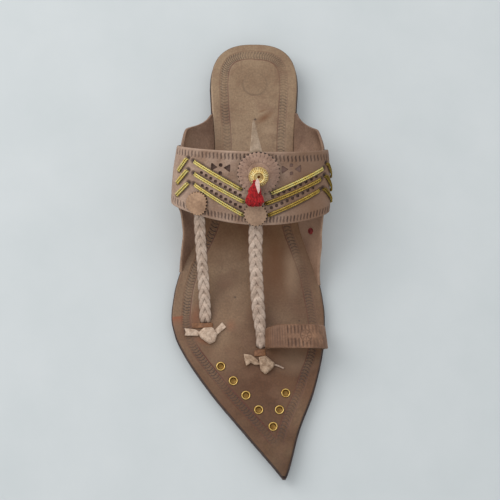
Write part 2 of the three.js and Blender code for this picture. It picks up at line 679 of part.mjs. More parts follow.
// The wool tassel: a bell whose sides are ridged into locks, hanging down the band from the button.
function tassel() {
  const { top, bottom, flatness, locks, fromShare, toShare, around } = TASSEL;
  const buttonTop = BAND_WALL + MEDALLION.lift + DISC_WALL + BUTTON.height + 3 * PIECE_GAP;
  const discTop = BAND_WALL + MEDALLION.lift + DISC_WALL + PIECE_GAP;
  const from = onBand(around, fromShare, buttonTop + top * flatness);
  const to = onBand(around, toShare, discTop + bottom * flatness);
  const axis = to.clone().sub(from).normalize();
  const sideways = new THREE.Vector3(1, 0, 0).addScaledVector(axis, -axis.x).normalize();
  const up = sideways.clone().cross(axis).negate();
  const points = locks * 3;
  const sections = spread(7).map((t) => {
    const swell = THREE.MathUtils.lerp(top, bottom, Math.sin((Math.PI / 2) * t));
    const fray = t === 1 ? 0.82 : 1;
    const centre = from.clone().lerp(to, t);
    return spread(points).slice(1).map((s) => {
      const angle = 2 * Math.PI * s;
      const lock = 1 + 0.1 * t * Math.cos(locks * angle);
      const r = swell * fray * lock;
      const offset = sideways.clone().multiplyScalar(r * Math.cos(angle));
      return centre.clone().add(offset).addScaledVector(up, r * flatness * Math.sin(angle));
    });
  });
  return closedLoft(sections);
}

// The pale thong end that lies over the tassel's head.
function thong() {
  const { around, fromShare, toShare, width, wall } = THONG;
  const buttonTop = BAND_WALL + MEDALLION.lift + DISC_WALL + BUTTON.height + 3 * PIECE_GAP;
  const lift = buttonTop + 2 * TASSEL.top * TASSEL.flatness + 0.6;
  const sections = spread(5).map((t) => {
    const share = THREE.MathUtils.lerp(fromShare, toShare, t);
    const half = (width / 2) * (1 - 0.85 * t ** 2);
    const face = (height) => [-half, half].map((offset) => onBand(around + offset, share, height));
    return [...face(lift), ...face(lift + wall).reverse()];
  });
  return closedLoft(sections);
}

// A gold cord: a low rounded strip laid straight across the band's outer face.
function goldCord({ fromAround, fromShare, toAround, toShare }) {
  const sides = 6;
  const at = (t, lift) =>
    onBand(THREE.MathUtils.lerp(fromAround, toAround, t), THREE.MathUtils.lerp(fromShare, toShare, t), lift);
  const low = BAND_WALL + PIECE_GAP;
  const sections = spread(7).map((t) => {
    const centre = at(t, low + CORD_HEIGHT / 2);
    const up = at(t, low + 1).sub(at(t, low)).normalize();
    const tangent = at(t + 0.01, low).sub(at(t - 0.01, low)).normalize();
    const sideways = tangent.clone().cross(up).normalize();
    return spread(sides).slice(1).map((s) => {
      const angle = 2 * Math.PI * s;
      const flat = (CORD_WIDTH / 2) * Math.cos(angle);
      const tall = (CORD_HEIGHT / 2) * Math.sin(angle);
      return centre.clone().addScaledVector(sideways, flat).addScaledVector(up, tall);
    });
  });
  return closedLoft(sections.map((ring) => ring.reverse()));
}

// A brass eyelet: a flat flange on a short tube, set in the insole and tilted with its slope.
function placeOnInsole(object, x, y) {
  const probe = 1;
  const slope = (insoleTop(y + probe) - insoleTop(y - probe)) / (2 * probe);
  object.position.set(x, y, insoleTop(y));
  object.rotation.set(Math.atan(slope), 0, 0);
}

function eyelet() {
  const { flangeRadius, flangeHeight, tubeRadius, holeRadius, tubeDepth } = EYELET;
  const profile = [
    new THREE.Vector2(holeRadius, -tubeDepth),
    new THREE.Vector2(tubeRadius, -tubeDepth),
    new THREE.Vector2(tubeRadius, PIECE_GAP),
    new THREE.Vector2(flangeRadius, PIECE_GAP),
    new THREE.Vector2(flangeRadius * 0.84, PIECE_GAP + flangeHeight),
    new THREE.Vector2(holeRadius, PIECE_GAP + flangeHeight * 0.5),
    new THREE.Vector2(holeRadius, -tubeDepth),
  ];
  return new THREE.LatheGeometry(profile, 12).rotateX(Math.PI / 2);
}

const eyeletPlaces = EYELET_ROWS.flatMap(({ x, y, stepX, stepY, count }) =>
  Array.from({ length: count }, (_, i) => ({ x: x + stepX * i, y: y + stepY * i })),
);

function eyeletHole({ x, y }) {
  const room = EYELET.tubeRadius + PIECE_GAP;
  const drill = new THREE.CylinderGeometry(room, room, 12, 12).rotateX(Math.PI / 2);
  drill.translate(x, y, insoleTop(y));
  return solidOf(drill);
}

// The insole: the top layer of the sole, cut away for the ears, the straps and the eyelets.
function insole() {
  const layer = soleLayer(INSOLE_SETBACK, (y) => outsoleTop(y) + PIECE_GAP, insoleTop);
  const earPockets = ['lateral', 'medial'].map((side) =>
    earWall(side, 1.5, -EAR_WALL - 2 * PIECE_GAP, -2, 2 * PIECE_GAP),
  );
  const braidSlots = Object.values(BRAIDS).map(braidSlot);
  const cuts = [...earPockets, toeStrap(PIECE_GAP), ...braidSlots, ...eyeletPlaces.map(eyeletHole)];
  return cuts.reduce((solid, cut) => solid.subtract(cut), solidOf(layer));
}

// The red stud on the inner face of the medial ear.
function redStud() {
  const { along, rise, radius, height } = RED_STUD;
  const turn = turnAtRise('medial', along, rise);
  const inward = outward('medial', along, turn).negate();
  const profile = [
    new THREE.Vector2(0, 0),
    new THREE.Vector2(radius, 0),
    new THREE.Vector2(radius * 0.8, height * 0.7),
    new THREE.Vector2(0, height),
  ];
  const stud = new THREE.LatheGeometry(profile, 10);
  stud.applyQuaternion(new THREE.Quaternion().setFromUnitVectors(new THREE.Vector3(0, 1, 0), inward));
  const seat = lifted('medial', along, turn, -EAR_WALL - PIECE_GAP);
  return stud.translate(seat.x, seat.y, seat.z);
}

// The assembly
const sandal = new THREE.Group();

function addPiece(name, geometry, material) {
  const mesh = new THREE.Mesh(geometry, material);
  mesh.name = name;
  sandal.add(mesh);
  return mesh;
}

addPiece('outsole', soleLayer(0, (y) => profileAt(HEEL_BACK - y, 'under'), outsoleTop), MATERIALS.outsole);
addPiece('insole', geometryOf(insole()), MATERIALS.insole);
addPiece('upper', geometryOf(upper()), MATERIALS.upper);
addPiece('toe_strap', geometryOf(toeStrap(0)), MATERIALS.strap);
for (const [name, spec] of Object.entries(BRAIDS)) addPiece(`braid_${name}`, braid(spec), MATERIALS.pale);
for (const [name, spec] of Object.entries(KNOTS)) addPiece(`knot_${name}`, geometryOf(knot(spec)), MATERIALS.pale);
addPiece('tip_strap', tipStrap(), MATERIALS.pale);
addPiece('medallion', pinkedDisc(MEDALLION), MATERIALS.upper);
addPiece('disc_centre', pinkedDisc(CENTRE_DISC), MATERIALS.upper);
addPiece('disc_side', pinkedDisc(SIDE_DISC), MATERIALS.upper);
addPiece('button', button(), MATERIALS.brass);
addPiece('tassel', tassel(), MATERIALS.wool);
addPiece('tassel_thong', thong(), MATERIALS.pale);
for (const cord of GOLD_CORDS) addPiece(`gold_cord_${cord.name}`, goldCord(cord), MATERIALS.gold);
eyeletPlaces.forEach(({ x, y }, i) => placeOnInsole(addPiece(`eyelet_${i + 1}`, eyelet(), MATERIALS.brass), x, y));
addPiece('red_stud', redStud(), MATERIALS.wool);

export default sandal;
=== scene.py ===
# %% [markdown]
# # A kolhapuri sandal
# A right-foot leather sandal: a pointed sole, a stamped instep band between two side ears, a toe loop,
# two plaits, gold cords and a red wool tassel. The CAD solids are the frame: they give every piece its
# place and size. This notebook dresses them, piece by piece, in leather, brass and wool.

# %% Load the frame
import math

import bmesh
import bpy
import numpy as np
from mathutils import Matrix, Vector, kdtree


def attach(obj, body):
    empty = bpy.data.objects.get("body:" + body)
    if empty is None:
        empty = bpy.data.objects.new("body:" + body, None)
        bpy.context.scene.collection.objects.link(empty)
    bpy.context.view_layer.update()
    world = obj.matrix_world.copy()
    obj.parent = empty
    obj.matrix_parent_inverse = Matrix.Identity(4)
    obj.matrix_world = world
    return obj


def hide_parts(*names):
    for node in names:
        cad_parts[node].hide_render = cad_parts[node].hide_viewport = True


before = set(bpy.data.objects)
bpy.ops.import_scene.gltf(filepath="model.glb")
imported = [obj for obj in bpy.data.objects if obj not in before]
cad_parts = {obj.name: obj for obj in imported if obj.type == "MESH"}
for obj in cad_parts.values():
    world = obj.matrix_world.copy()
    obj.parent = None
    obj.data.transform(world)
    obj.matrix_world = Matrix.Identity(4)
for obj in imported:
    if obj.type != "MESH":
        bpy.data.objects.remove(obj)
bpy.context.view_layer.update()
MM = 0.001

# %% [markdown]
# ## The sole's outline and height
# A shoemaker cuts the sole round a paper pattern. The pattern here is a short table of widths along the
# foot, in millimetres, read smoothly between its rows so that the edge never overshoots a row.

# %% The sole's pattern
SOLE_LENGTH = 302
HEEL_BACK = SOLE_LENGTH / 2
HEEL_WIDTH = 61.2
HEEL_CENTRE_X = 2.7
HEEL_ROUND = 33
HEEL_SQUARENESS = 2.6
INSOLE_THICKNESS = 3.2
INSOLE_SETBACK = 0.8
PIECE_GAP = 0.3
LATERAL, MEDIAL = -1, 1

# Rows of distance from the heel's back, lateral edge and medial edge.
SOLE_OUTLINE = [
    (33, -27.9, 33.3), (50, -27.0, 32.3), (75, -25.4, 31.0), (105, -28.2, 31.4), (128, -33.3, 33.9),
    (146, -41.0, 39.4), (160, -47.0, 44.4), (176, -51.2, 48.5), (193, -53.0, 50.4), (205, -50.6, 50.3),
    (217, -45.0, 48.9), (242, -28.2, 43.1), (270, -5.2, 32.7), (299, 19.1, 24.8), (302, 21.4, 23.3),
]
# Rows of distance from the heel's back, height of the underside and height of the top.
OUTSOLE_PROFILE = [
    (0, 0, 13.5), (62, 0, 13.3), (64, 7.4, 13.1), (80, 6.9, 12.5), (105, 4.7, 10.3), (130, 2.2, 7.8),
    (150, 0.6, 6.2), (166, 0, 5.6), (238, 0, 5.6), (262, 0.7, 6.2), (282, 2.2, 7.6), (302, 4.4, 9.4),
]


def read_table(table, column, at):
    """Reads one column of a table at any place, smoothly and without overshoot."""
    rows = np.array(sorted(table), float)
    places, values = rows[:, 0], rows[:, column]
    slope = np.diff(values) / np.diff(places)
    before = np.append(slope[:1], slope)
    after = np.append(slope, slope[-1:])
    total = before + after
    level = (before * after <= 0) | (total == 0)
    tangent = np.where(level, 0, 2 * before * after / np.where(level, 1, total))
    at = np.clip(at, places[0], places[-1])
    i = np.clip(np.searchsorted(places, at) - 1, 0, len(places) - 2)
    step = places[i + 1] - places[i]
    t = (at - places[i]) / step
    start = (1 + 2 * t) * (1 - t) ** 2 * values[i] + t * (1 - t) ** 2 * step * tangent[i]
    end = t**2 * (3 - 2 * t) * values[i + 1] + t**2 * (t - 1) * step * tangent[i + 1]
    return start + end


def sole_edge(from_heel, side, inset):
    """The x of the sole's edge on one side, drawn in square to the edge."""
    from_heel = np.asarray(from_heel, float)
    inward = np.clip((HEEL_ROUND - from_heel) / (HEEL_ROUND - inset), 0, 1)
    half = (HEEL_WIDTH / 2 - inset) * (1 - inward**HEEL_SQUARENESS) ** (1 / HEEL_SQUARENESS)
    column = 1 if side == LATERAL else 2
    probe = 0.5
    ahead = read_table(SOLE_OUTLINE, column, from_heel + probe)
    behind = read_table(SOLE_OUTLINE, column, from_heel - probe)
    drawn_in = inset * np.hypot(1, (ahead - behind) / (2 * probe))
    straight = read_table(SOLE_OUTLINE, column, from_heel) - side * drawn_in
    return np.where(from_heel < HEEL_ROUND, HEEL_CENTRE_X + side * half, straight)


def outsole_top(y):
    return read_table(OUTSOLE_PROFILE, 2, HEEL_BACK - np.asarray(y, float))


def insole_top(y):
    return outsole_top(y) + PIECE_GAP + INSOLE_THICKNESS


def smooth_step(low, high, value):
    t = np.clip((value - low) / (high - low), 0, 1)
    return t * t * (3 - 2 * t)


print("sole at the ball:", sole_edge(193, LATERAL, 0), "to", sole_edge(193, MEDIAL, 0))

# %% [markdown]
# ## The last
# The upper is shaped over a last, a solid foot. Each slice of this last springs from the sole's edge,
# reaches out to its widest and closes over the crown. Places on the instep band are then given by
# millimetres around from the crown and by a share of the band's width, as a maker marks them on flat
# leather before it is bent.

# %% The last and the band's own coordinates
EAR_WALL = 2
EAR_FOOT_SETBACK = 0.2
EAR_FLARE = 1.4
BAND_WALL = 2.4
BAND_FRONT, BAND_REAR = 27.3, 78
BAND_FRONT_TAPER = 11
BAND_FRONT_SKEW, BAND_REAR_SKEW = 2, 1.4
BAND_HALF_LENGTH = 60
BAND_ENDS = (-78, 73)
CROWN_X = 4
CROWN_FRONT_Z = 45.5
CROWN_SLOPE = 0.431
WIDEST_RISE = 26
LEAN = 0.42
QUARTER = math.pi / 2

# Rows of place along the foot, lateral reach and medial reach.
UPPER_REACH = [
    (112, -34, 39), (102, -40, 43), (91, -43.8, 46.2), (78, -46.8, 50), (56, -49.6, 51.2), (42, -50.2, 51.2),
    (32, -47.8, 50.6), (20, -48.6, 51.4), (6, -52.8, 54.4), (-8, -57, 55.4), (-24, -58, 56),
]


def last_point(side, along, turn):
    """A point of the last: turn is minus a right angle at the sole and a right angle at the crown."""
    along, turn = np.broadcast_arrays(np.asarray(along, float), np.asarray(turn, float))
    base_x = sole_edge(HEEL_BACK - along, side, EAR_FOOT_SETBACK)
    base_z = outsole_top(along) + PIECE_GAP
    reach_x = read_table(UPPER_REACH, 1 if side == LATERAL else 2, along)
    widest_z = base_z + WIDEST_RISE
    crown_z = CROWN_FRONT_Z + CROWN_SLOPE * (along - BAND_FRONT)
    climbed = np.clip(1 + turn / QUARTER, 0, 1)
    below_x = base_x + (reach_x - base_x) * np.sin(QUARTER * climbed) ** EAR_FLARE
    above_x = CROWN_X + (reach_x - CROWN_X) * np.cos(turn)
    below_z = widest_z + WIDEST_RISE * turn / QUARTER
    above_z = widest_z + (crown_z - widest_z) * np.sin(turn)
    x = np.where(turn < 0, below_x, above_x)
    z = np.where(turn < 0, below_z, above_z)
    return np.stack([x, along - LEAN * (z - base_z), z], -1)


def unit(vectors):
    return vectors / np.linalg.norm(vectors, axis=-1, keepdims=True)


def lifted(side, along, turn, lift):
    """A point above or below the last's surface, square to it."""
    probe = 0.01
    around = last_point(side, along, turn + probe) - last_point(side, along, turn - probe)
    lengthways = last_point(side, along + probe, turn) - last_point(side, along - probe, turn)
    normal = unit(np.cross(around, lengthways)) * -side
    return last_point(side, along, turn) + normal * np.asarray(lift, float)[..., None]


BAND_MIDDLE = (BAND_FRONT + BAND_REAR) / 2
TURNS = np.arange(QUARTER, -QUARTER, -0.005)


def turn_at(side, distance):
    """How far the last has turned at a distance around from the crown."""
    line = last_point(side, BAND_MIDDLE, TURNS)
    steps = np.linalg.norm(np.diff(line, axis=0), axis=1)
    return np.interp(distance, np.append(0, np.cumsum(steps)), TURNS)


def on_band(around, share, lift):
    """A point of the band by millimetres around, share of the width and height over the last."""
    around, share, lift = np.broadcast_arrays(*(np.asarray(v, float) for v in (around, share, lift)))
    outwards = around / BAND_HALF_LENGTH
    front = BAND_FRONT + BAND_FRONT_TAPER * outwards**2 - BAND_FRONT_SKEW * outwards
    along = front + (BAND_REAR - BAND_REAR_SKEW * outwards - front) * share
    sides = [lifted(s, along, turn_at(s, np.abs(around)), lift) for s in (LATERAL, MEDIAL)]
    return np.where((around < 0)[..., None], *sides)


CROWN_WIDTH = float(np.linalg.norm(on_band(0, 1, 0) - on_band(0, 0, 0)))
print("band's width at the crown: %.1f mm" % CROWN_WIDTH)

# %% [markdown]
# ## From points to pieces
# Most pieces are rows of points joined by four-sided faces. A leather panel is two such sheets, an outer
# and an inner face, joined all round their edges and round every hole by a wall. All are closed shells, so
# Blender can turn their faces outwards by itself. Every finished piece rides on the sandal's one body and
# stands for its CAD solid.

# %% Helpers for meshes
def make_piece(name, points, faces, finishes, replaces, finish_of_face=None, sharp=50):
    """Links a mesh of millimetre points as a piece of the sandal."""
    mesh = bpy.data.meshes.new(name)
    mesh.from_pydata((np.asarray(points) * MM).tolist(), [], [list(map(int, face)) for face in faces])
    shell = bmesh.new()
    shell.from_mesh(mesh)
    bmesh.ops.recalc_face_normals(shell, faces=shell.faces)
    shell.to_mesh(mesh)
    shell.free()
    for finish in finishes:
        mesh.materials.append(finish)
    if finish_of_face is not None:
        mesh.polygons.foreach_set("material_index", np.asarray(finish_of_face, np.int32))
    mesh.polygons.foreach_set("use_smooth", np.ones(len(mesh.polygons), bool))
    mesh.set_sharp_from_angle(angle=math.radians(sharp))
    mesh.update()
    return join_sandal(bpy.data.objects.new(name, mesh), replaces)


def join_sandal(piece, replaces):
    if piece.name not in bpy.context.scene.collection.objects:
        bpy.context.scene.collection.objects.link(piece)
    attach(piece, "root")
    if replaces:
        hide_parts(*replaces)
    print(piece.name, "faces:", len(piece.data.polygons))
    return piece


def mark(piece, name, values):
    """Stores one number per point, for a finish to read."""
    layer = piece.data.attributes.new(name, "FLOAT", "POINT")
    layer.data.foreach_set("value", np.asarray(values, np.float32).ravel())


def grid_faces(rows, columns, around=False):
    """Faces of a grid of points; around joins the last column to the first."""
    at = np.arange(rows * columns).reshape(rows, columns)
    if around:
        at = np.concatenate([at, at[:, :1]], axis=1)
    return np.stack([at[:-1, :-1], at[1:, :-1], at[1:, 1:], at[:-1, 1:]], -1)


def ring_faces(rows, columns):
    """Faces of rings of points joined into a tube, with both ends closed."""
    faces = grid_faces(rows, columns, around=True).reshape(-1, 4)[:, ::-1].tolist()
    first_of_last = (rows - 1) * columns
    return faces + [list(range(columns)), list(range(first_of_last, first_of_last + columns))]


def panel(outer, inner, keep=None):
    """A leather panel from two sheets: its points, its faces and which faces are cut walls."""
    rows, columns = outer.shape[:2]
    count = rows * columns
    quads = grid_faces(rows, columns)
    keep = np.ones(quads.shape[:2], bool) if keep is None else keep
    top = quads[keep]
    a, b, c, d = (outer.reshape(-1, 3)[top[:, i]] for i in range(4))
    out = (outer - inner).reshape(-1, 3)[top[:, 0]]
    if np.mean(np.einsum("ij,ij->i", np.cross(c - a, d - b), out)) < 0:
        top = top[:, ::-1]
    edges = np.concatenate([top[:, [i, (i + 1) % 4]] for i in range(4)])
    forward = edges[:, 0] * count + edges[:, 1]
    backward = edges[:, 1] * count + edges[:, 0]
    border = edges[~np.isin(backward, forward)]
    wall = np.stack([border[:, 1], border[:, 0], border[:, 0] + count, border[:, 1] + count], -1)
    faces = np.concatenate([top, top[:, ::-1] + count, wall])
    points = np.concatenate([outer.reshape(-1, 3), inner.reshape(-1, 3)])
    used, faces = np.unique(faces, return_inverse=True)
    is_wall = np.arange(len(top) * 2 + len(wall)) >= len(top) * 2
    return points[used], faces.reshape(-1, 4), is_wall, used


def make_panel(name, sheets, finishes, replaces, marks=None, keep=None):
    """A panel as a piece; each mark holds its numbers on the outer and on the inner sheet."""
    points, faces, is_wall, used = panel(*sheets, keep)
    piece = make_piece(name, points, faces, finishes, replaces, is_wall if len(finishes) > 1 else None)
    for label, values in (marks or {}).items():
        both = [np.broadcast_to(numbers, sheets[0].shape[:2]).ravel() for numbers in values]
        mark(piece, label, np.concatenate(both)[used])


def lathe(profile, segments):
    """A turned shape about +Z from rows of radius and height, with closed ends."""
    angles = np.linspace(0, 2 * math.pi, segments, endpoint=False)
    rings = np.array([[(r * math.cos(a), r * math.sin(a), z) for a in angles] for r, z in profile])
    return rings.reshape(-1, 3), ring_faces(len(profile), segments)


def smooth_noise(points, size, seed):
    """Soft unevenness between -1 and 1, from a few slow waves in fixed random directions."""
    chance = np.random.default_rng(seed)
    total = 0
    for _ in range(7):
        direction = chance.normal(size=3) / size
        total = total + np.sin(np.asarray(points) @ direction + chance.uniform(0, 2 * math.pi))
    return total / 4


def flat_noise(u, v, size, seed):
    """The same unevenness over places on flat leather."""
    return smooth_noise(np.stack([u, v, u * 0], -1), size, seed)


print("mesh helpers ready")

# %% [markdown]
# ## Finishes
# Vegetable-tanned leather is never one colour: it is mottled by handling, darker where it was pressed and
# paler where it was cut. Each leather mixes two tones by a slow noise, darkens by a "stamp" number that
# the mesh carries, and has a fine grain as bump. The stamp number holds pressed marks and also painted
# shade in holes, creases, hollows and between parts. Brass and gold thread are metals with small scratches.

# %% Helpers for finishes
def tone(red, green, blue):
    """A colour for the shader from everyday 0 to 255 numbers."""
    share = np.array([red, green, blue]) / 255
    linear = np.where(share <= 0.04045, share / 12.92, ((share + 0.055) / 1.055) ** 2.4)
    return (*linear.tolist(), 1.0)


def add_node(tree, kind, inputs=None, **settings):
    """Adds a node; an input is a constant or another node's output."""
    node = tree.nodes.new(kind)
    for key, value in settings.items():
        setattr(node, key, value)
    for key, value in (inputs or {}).items():
        if isinstance(value, bpy.types.NodeSocket):
            tree.links.new(value, node.inputs[key])
        else:
            node.inputs[key].default_value = value
    return node


def new_finish(name):
    material = bpy.data.materials.new(name)
    material.use_nodes = True
    tree = material.node_tree
    tree.nodes.clear()
    shader = add_node(tree, "ShaderNodeBsdfPrincipled")
    add_node(tree, "ShaderNodeOutputMaterial", {"Surface": shader.outputs["BSDF"]})
    place = add_node(tree, "ShaderNodeTexCoord").outputs["Object"]
    return material, tree, shader, place


def noise(tree, place, size, detail=4.0, roughness=0.55):
    """Noise whose blotches are about size millimetres across."""
    inputs = {"Vector": place, "Scale": 1 / (size * MM), "Detail": detail, "Roughness": roughness}
    return add_node(tree, "ShaderNodeTexNoise", inputs).outputs["Fac"]


def ranged(tree, value, low, high, to_low=0.0, to_high=1.0):
    inputs = {"Value": value, "From Min": low, "From Max": high, "To Min": to_low, "To Max": to_high}
    return add_node(tree, "ShaderNodeMapRange", inputs).outputs["Result"]


def blend(tree, factor, first, second, way="MIX"):
    """Mixes two colours."""
    node = add_node(tree, "ShaderNodeMix", {"Factor": factor}, data_type="RGBA", blend_type=way)
    for key, value in ((6, first), (7, second)):
        if isinstance(value, bpy.types.NodeSocket):
            tree.links.new(value, node.inputs[key])
        else:
            node.inputs[key].default_value = value
    return node.outputs[2]


def carried(tree, name):
    """A number that the mesh carries, written by mark()."""
    return add_node(tree, "ShaderNodeAttribute", attribute_name=name).outputs["Fac"]


def calculate(tree, operation, first, second=0.0):
    return add_node(tree, "ShaderNodeMath", {0: first, 1: second}, operation=operation).outputs["Value"]


def bumped(tree, shader, height, strength, depth):
    """Gives the shader a fine relief of at most depth millimetres."""
    inputs = {"Height": height, "Strength": strength, "Distance": depth * MM}
    bump = add_node(tree, "ShaderNodeBump", inputs)
    tree.links.new(bump.outputs["Normal"], shader.inputs["Normal"])


print("finish helpers ready")

# %% The leathers
SOIL_AND_SHADE_TINT = (0.75, 0.66, 0.56, 1.0)
GRAIN_SIZE = 1.1


def leather(name, pale, dark, pressed, roughness=0.6, blotch=16.0):
    """A mottled, grained leather; returns its tree and colour too, for finishes that add to it."""
    material, tree, shader, place = new_finish(name)
    pale, dark, pressed = tone(*pale), tone(*dark), tone(*pressed)
    slow = ranged(tree, noise(tree, place, blotch, 5.0), 0.34, 0.68)
    colour = blend(tree, slow, pale, dark)
    fibres = ranged(tree, noise(tree, place, 1.3, 3.0), 0.3, 0.72, 0.8, 1.16)
    colour = blend(tree, 1.0, colour, fibres, "MULTIPLY")
    # The rub number lightens towards a paler tone, for rubbed wear and painted light; the soil number
    # darkens, for soil and painted shade; the stamp number darkens towards the pressed tone, for pressed
    # marks and painted shade.
    rubbed_and_lit = (*(min(1.0, c * 1.3) for c in pale[:3]), 1.0)
    colour = blend(tree, carried(tree, "rub_and_light"), colour, rubbed_and_lit)
    soiled_and_shaded = tuple(c * s for c, s in zip(dark, SOIL_AND_SHADE_TINT))
    colour = blend(tree, carried(tree, "soil_and_shade"), colour, soiled_and_shaded)
    colour = blend(tree, carried(tree, "stamp"), colour, pressed)
    tree.links.new(colour, shader.inputs["Base Color"])
    tree.links.new(ranged(tree, slow, 0, 1, roughness - 0.06, roughness + 0.1), shader.inputs["Roughness"])
    shader.inputs["Specular IOR Level"].default_value = 0.35
    cell_inputs = {"Vector": place, "Scale": 1 / (GRAIN_SIZE * MM)}
    cells = add_node(tree, "ShaderNodeTexVoronoi", cell_inputs).outputs["Distance"]
    relief = calculate(tree, "ADD", cells, noise(tree, place, 0.5, 2.0))
    bumped(tree, shader, relief, 0.35, 0.12)
    return material, tree, shader, place, colour


upper_leather = leather("upper_leather", (170, 142, 123), (136, 106, 86), (44, 28, 26), 0.6, 12.0)[0]
lining_leather = leather("lining_leather", (108, 84, 74), (84, 64, 56), (40, 28, 22), 0.8)[0]
ear_leather = leather("ear_leather", (152, 120, 98), (122, 91, 73), (60, 42, 34))[0]
cut_leather = leather("cut_leather", (176, 146, 122), (140, 108, 84), (84, 58, 44), 0.75, 5.0)[0]
pale_leather = leather("pale_leather", (201, 178, 160), (168, 143, 125), (96, 70, 54), 0.72, 6.0)[0]
tip_leather = leather("tip_leather", (179, 155, 133), (151, 127, 104), (104, 78, 58), 0.7, 6.0)[0]
knot_leather = leather("knot_leather", (210, 184, 162), (164, 137, 116), (104, 78, 58), 0.75, 3.0)[0]
tan_knot = leather("tan_knot", (188, 160, 135), (139, 111, 88), (92, 66, 48), 0.75, 3.0)[0]
round_leather = leather("round_leather", (172, 139, 120), (144, 112, 94), (58, 38, 30), 0.62, 8.0)[0]
disc_leather = leather("disc_leather", (176, 140, 111), (146, 113, 88), (66, 44, 36), 0.62, 7.0)[0]
strap_leather = leather("strap_leather", (144, 106, 80), (111, 79, 59), (66, 42, 30), 0.55, 7.0)[0]
bridge_leather = leather("bridge_leather", (138, 94, 62), (108, 70, 46), (66, 40, 26), 0.55, 4.0)[0]
thong_leather = leather("thong_leather", (228, 198, 186), (204, 164, 148), (110, 70, 60), 0.6, 2.5)[0]
stud_leather = leather("stud_leather", (142, 40, 36), (108, 28, 26), (50, 10, 10), 0.6, 2.0)[0]
ear_cut = leather("ear_cut", (158, 128, 106), (128, 98, 78), (84, 58, 44), 0.75, 5.0)[0]
front_leather = leather("front_leather", (169, 137, 112), (145, 115, 92), (66, 44, 36), 0.62, 7.0)[0]
print("leathers:", [m.name for m in bpy.data.materials])

# %% [markdown]
# The insole has been handled and worn the most. Its heel is a light tan and its toe a darker, redder
# brown, so further tones follow the foot's length; part of that darkening towards the toe is painted shade,
# for light falling off from the heel. Stains, grime and scuffs are numbers that the mesh carries, and so are
# painted shade under the band and painted light under the toe loop.

# %% The insole's and the outsole's leathers
insole_leather, tree, shader, place, colour = leather(
    "insole_leather", (161, 133, 104), (135, 106, 80), (58, 40, 32), 0.5, 26.0
)
along_foot = add_node(tree, "ShaderNodeSeparateXYZ", {"Vector": place}).outputs["Y"]
patchy = ranged(tree, noise(tree, place, 30.0), 0.3, 0.7, 0.7, 1.15)
# The toe's darker, redder tint is partly the leather's own tone and partly painted shade, for light falling
# off from the heel.
toe_share = calculate(tree, "MULTIPLY", ranged(tree, along_foot, 0.075, -0.085), patchy)
heel_share = ranged(tree, along_foot, 0.07, 0.1)
tip_share = ranged(tree, along_foot, -0.095, -0.135)
foot_tints = [(toe_share, (166, 134, 104)), (heel_share, (241, 239, 235)), (tip_share, (237, 243, 238))]
for share, tint in foot_tints:
    colour = blend(tree, share, colour, blend(tree, 1.0, colour, tone(*tint), "MULTIPLY"))
handled = ranged(tree, noise(tree, place, 12.0, 6.0, 0.65), 0.5, 0.72, 0.0, 0.55)
colour = blend(tree, handled, colour, tone(112, 76, 54))
# Grime, and painted shade under the band and in front of it, darken towards a brown.
colour = blend(tree, carried(tree, "grime_and_shade"), colour, tone(112, 68, 32))
colour = blend(tree, carried(tree, "stain"), colour, tone(136, 70, 36))
# Scuffs, painted light under the toe loop and a pale line at the lateral heel's rim lighten towards a pale
# tan.
colour = blend(tree, carried(tree, "scuff_and_light"), colour, tone(196, 164, 134))

STAMP_PITCH = 2.25
STAMP_REACH = (1.95, 0.78)
STAMP_SLANT = 0.16
BORDER_WIDTH = 5.6
OUTER_LINE = 0.45


def border_colours(tree):
    """The ladder of ring stamps and its scribed lines, drawn more finely than the mesh holds them."""
    across = carried(tree, "border_across")
    slanted = calculate(tree, "MULTIPLY", across, STAMP_SLANT)
    cell = calculate(tree, "ADD", carried(tree, "border_around"), slanted)
    cell = calculate(tree, "DIVIDE", cell, STAMP_PITCH)
    past = calculate(tree, "SUBTRACT", cell, calculate(tree, "ROUND", cell))
    slid = calculate(tree, "MULTIPLY", past, STAMP_PITCH)
    long_way = calculate(tree, "DIVIDE", across, STAMP_REACH[0])
    short_way = calculate(tree, "DIVIDE", slid, STAMP_REACH[1])
    squares = [calculate(tree, "MULTIPLY", way, way) for way in (long_way, short_way)]
    oval = calculate(tree, "SQRT", calculate(tree, "ADD", *squares))
    from_ring = calculate(tree, "ABSOLUTE", calculate(tree, "SUBTRACT", oval, 1.0))
    ring = ranged(tree, from_ring, 0.1, 0.5, 1.0, 0.0)
    ring = calculate(tree, "MULTIPLY", ring, ranged(tree, slid, -0.5, 0.6, 1.0, 0.3))
    ring = calculate(tree, "MULTIPLY", ring, carried(tree, "border_fade"))
    aside = calculate(tree, "SUBTRACT", calculate(tree, "ABSOLUTE", across), BORDER_WIDTH / 2)
    scribed = ranged(tree, calculate(tree, "ABSOLUTE", aside), 0.15, 0.5, 0.8, 0.0)
    scribed = calculate(tree, "MULTIPLY", scribed, carried(tree, "line_fade"))
    scribed = calculate(tree, "MULTIPLY", scribed, ranged(tree, across, -1.0, 1.0, OUTER_LINE, 1.0))
    return ring, scribed


ring_share, line_share = border_colours(tree)
colour = blend(tree, ring_share, colour, tone(52, 36, 30))
colour = blend(tree, line_share, colour, tone(92, 48, 34))
tree.links.new(colour, shader.inputs["Base Color"])
shader.inputs["Coat Weight"].default_value = 0.12
shader.inputs["Coat Roughness"].default_value = 0.35

outsole_leather = leather("outsole_leather", (74, 50, 42), (48, 32, 28), (24, 16, 14), 0.5, 8.0)[0]
print("insole and outsole leathers ready")

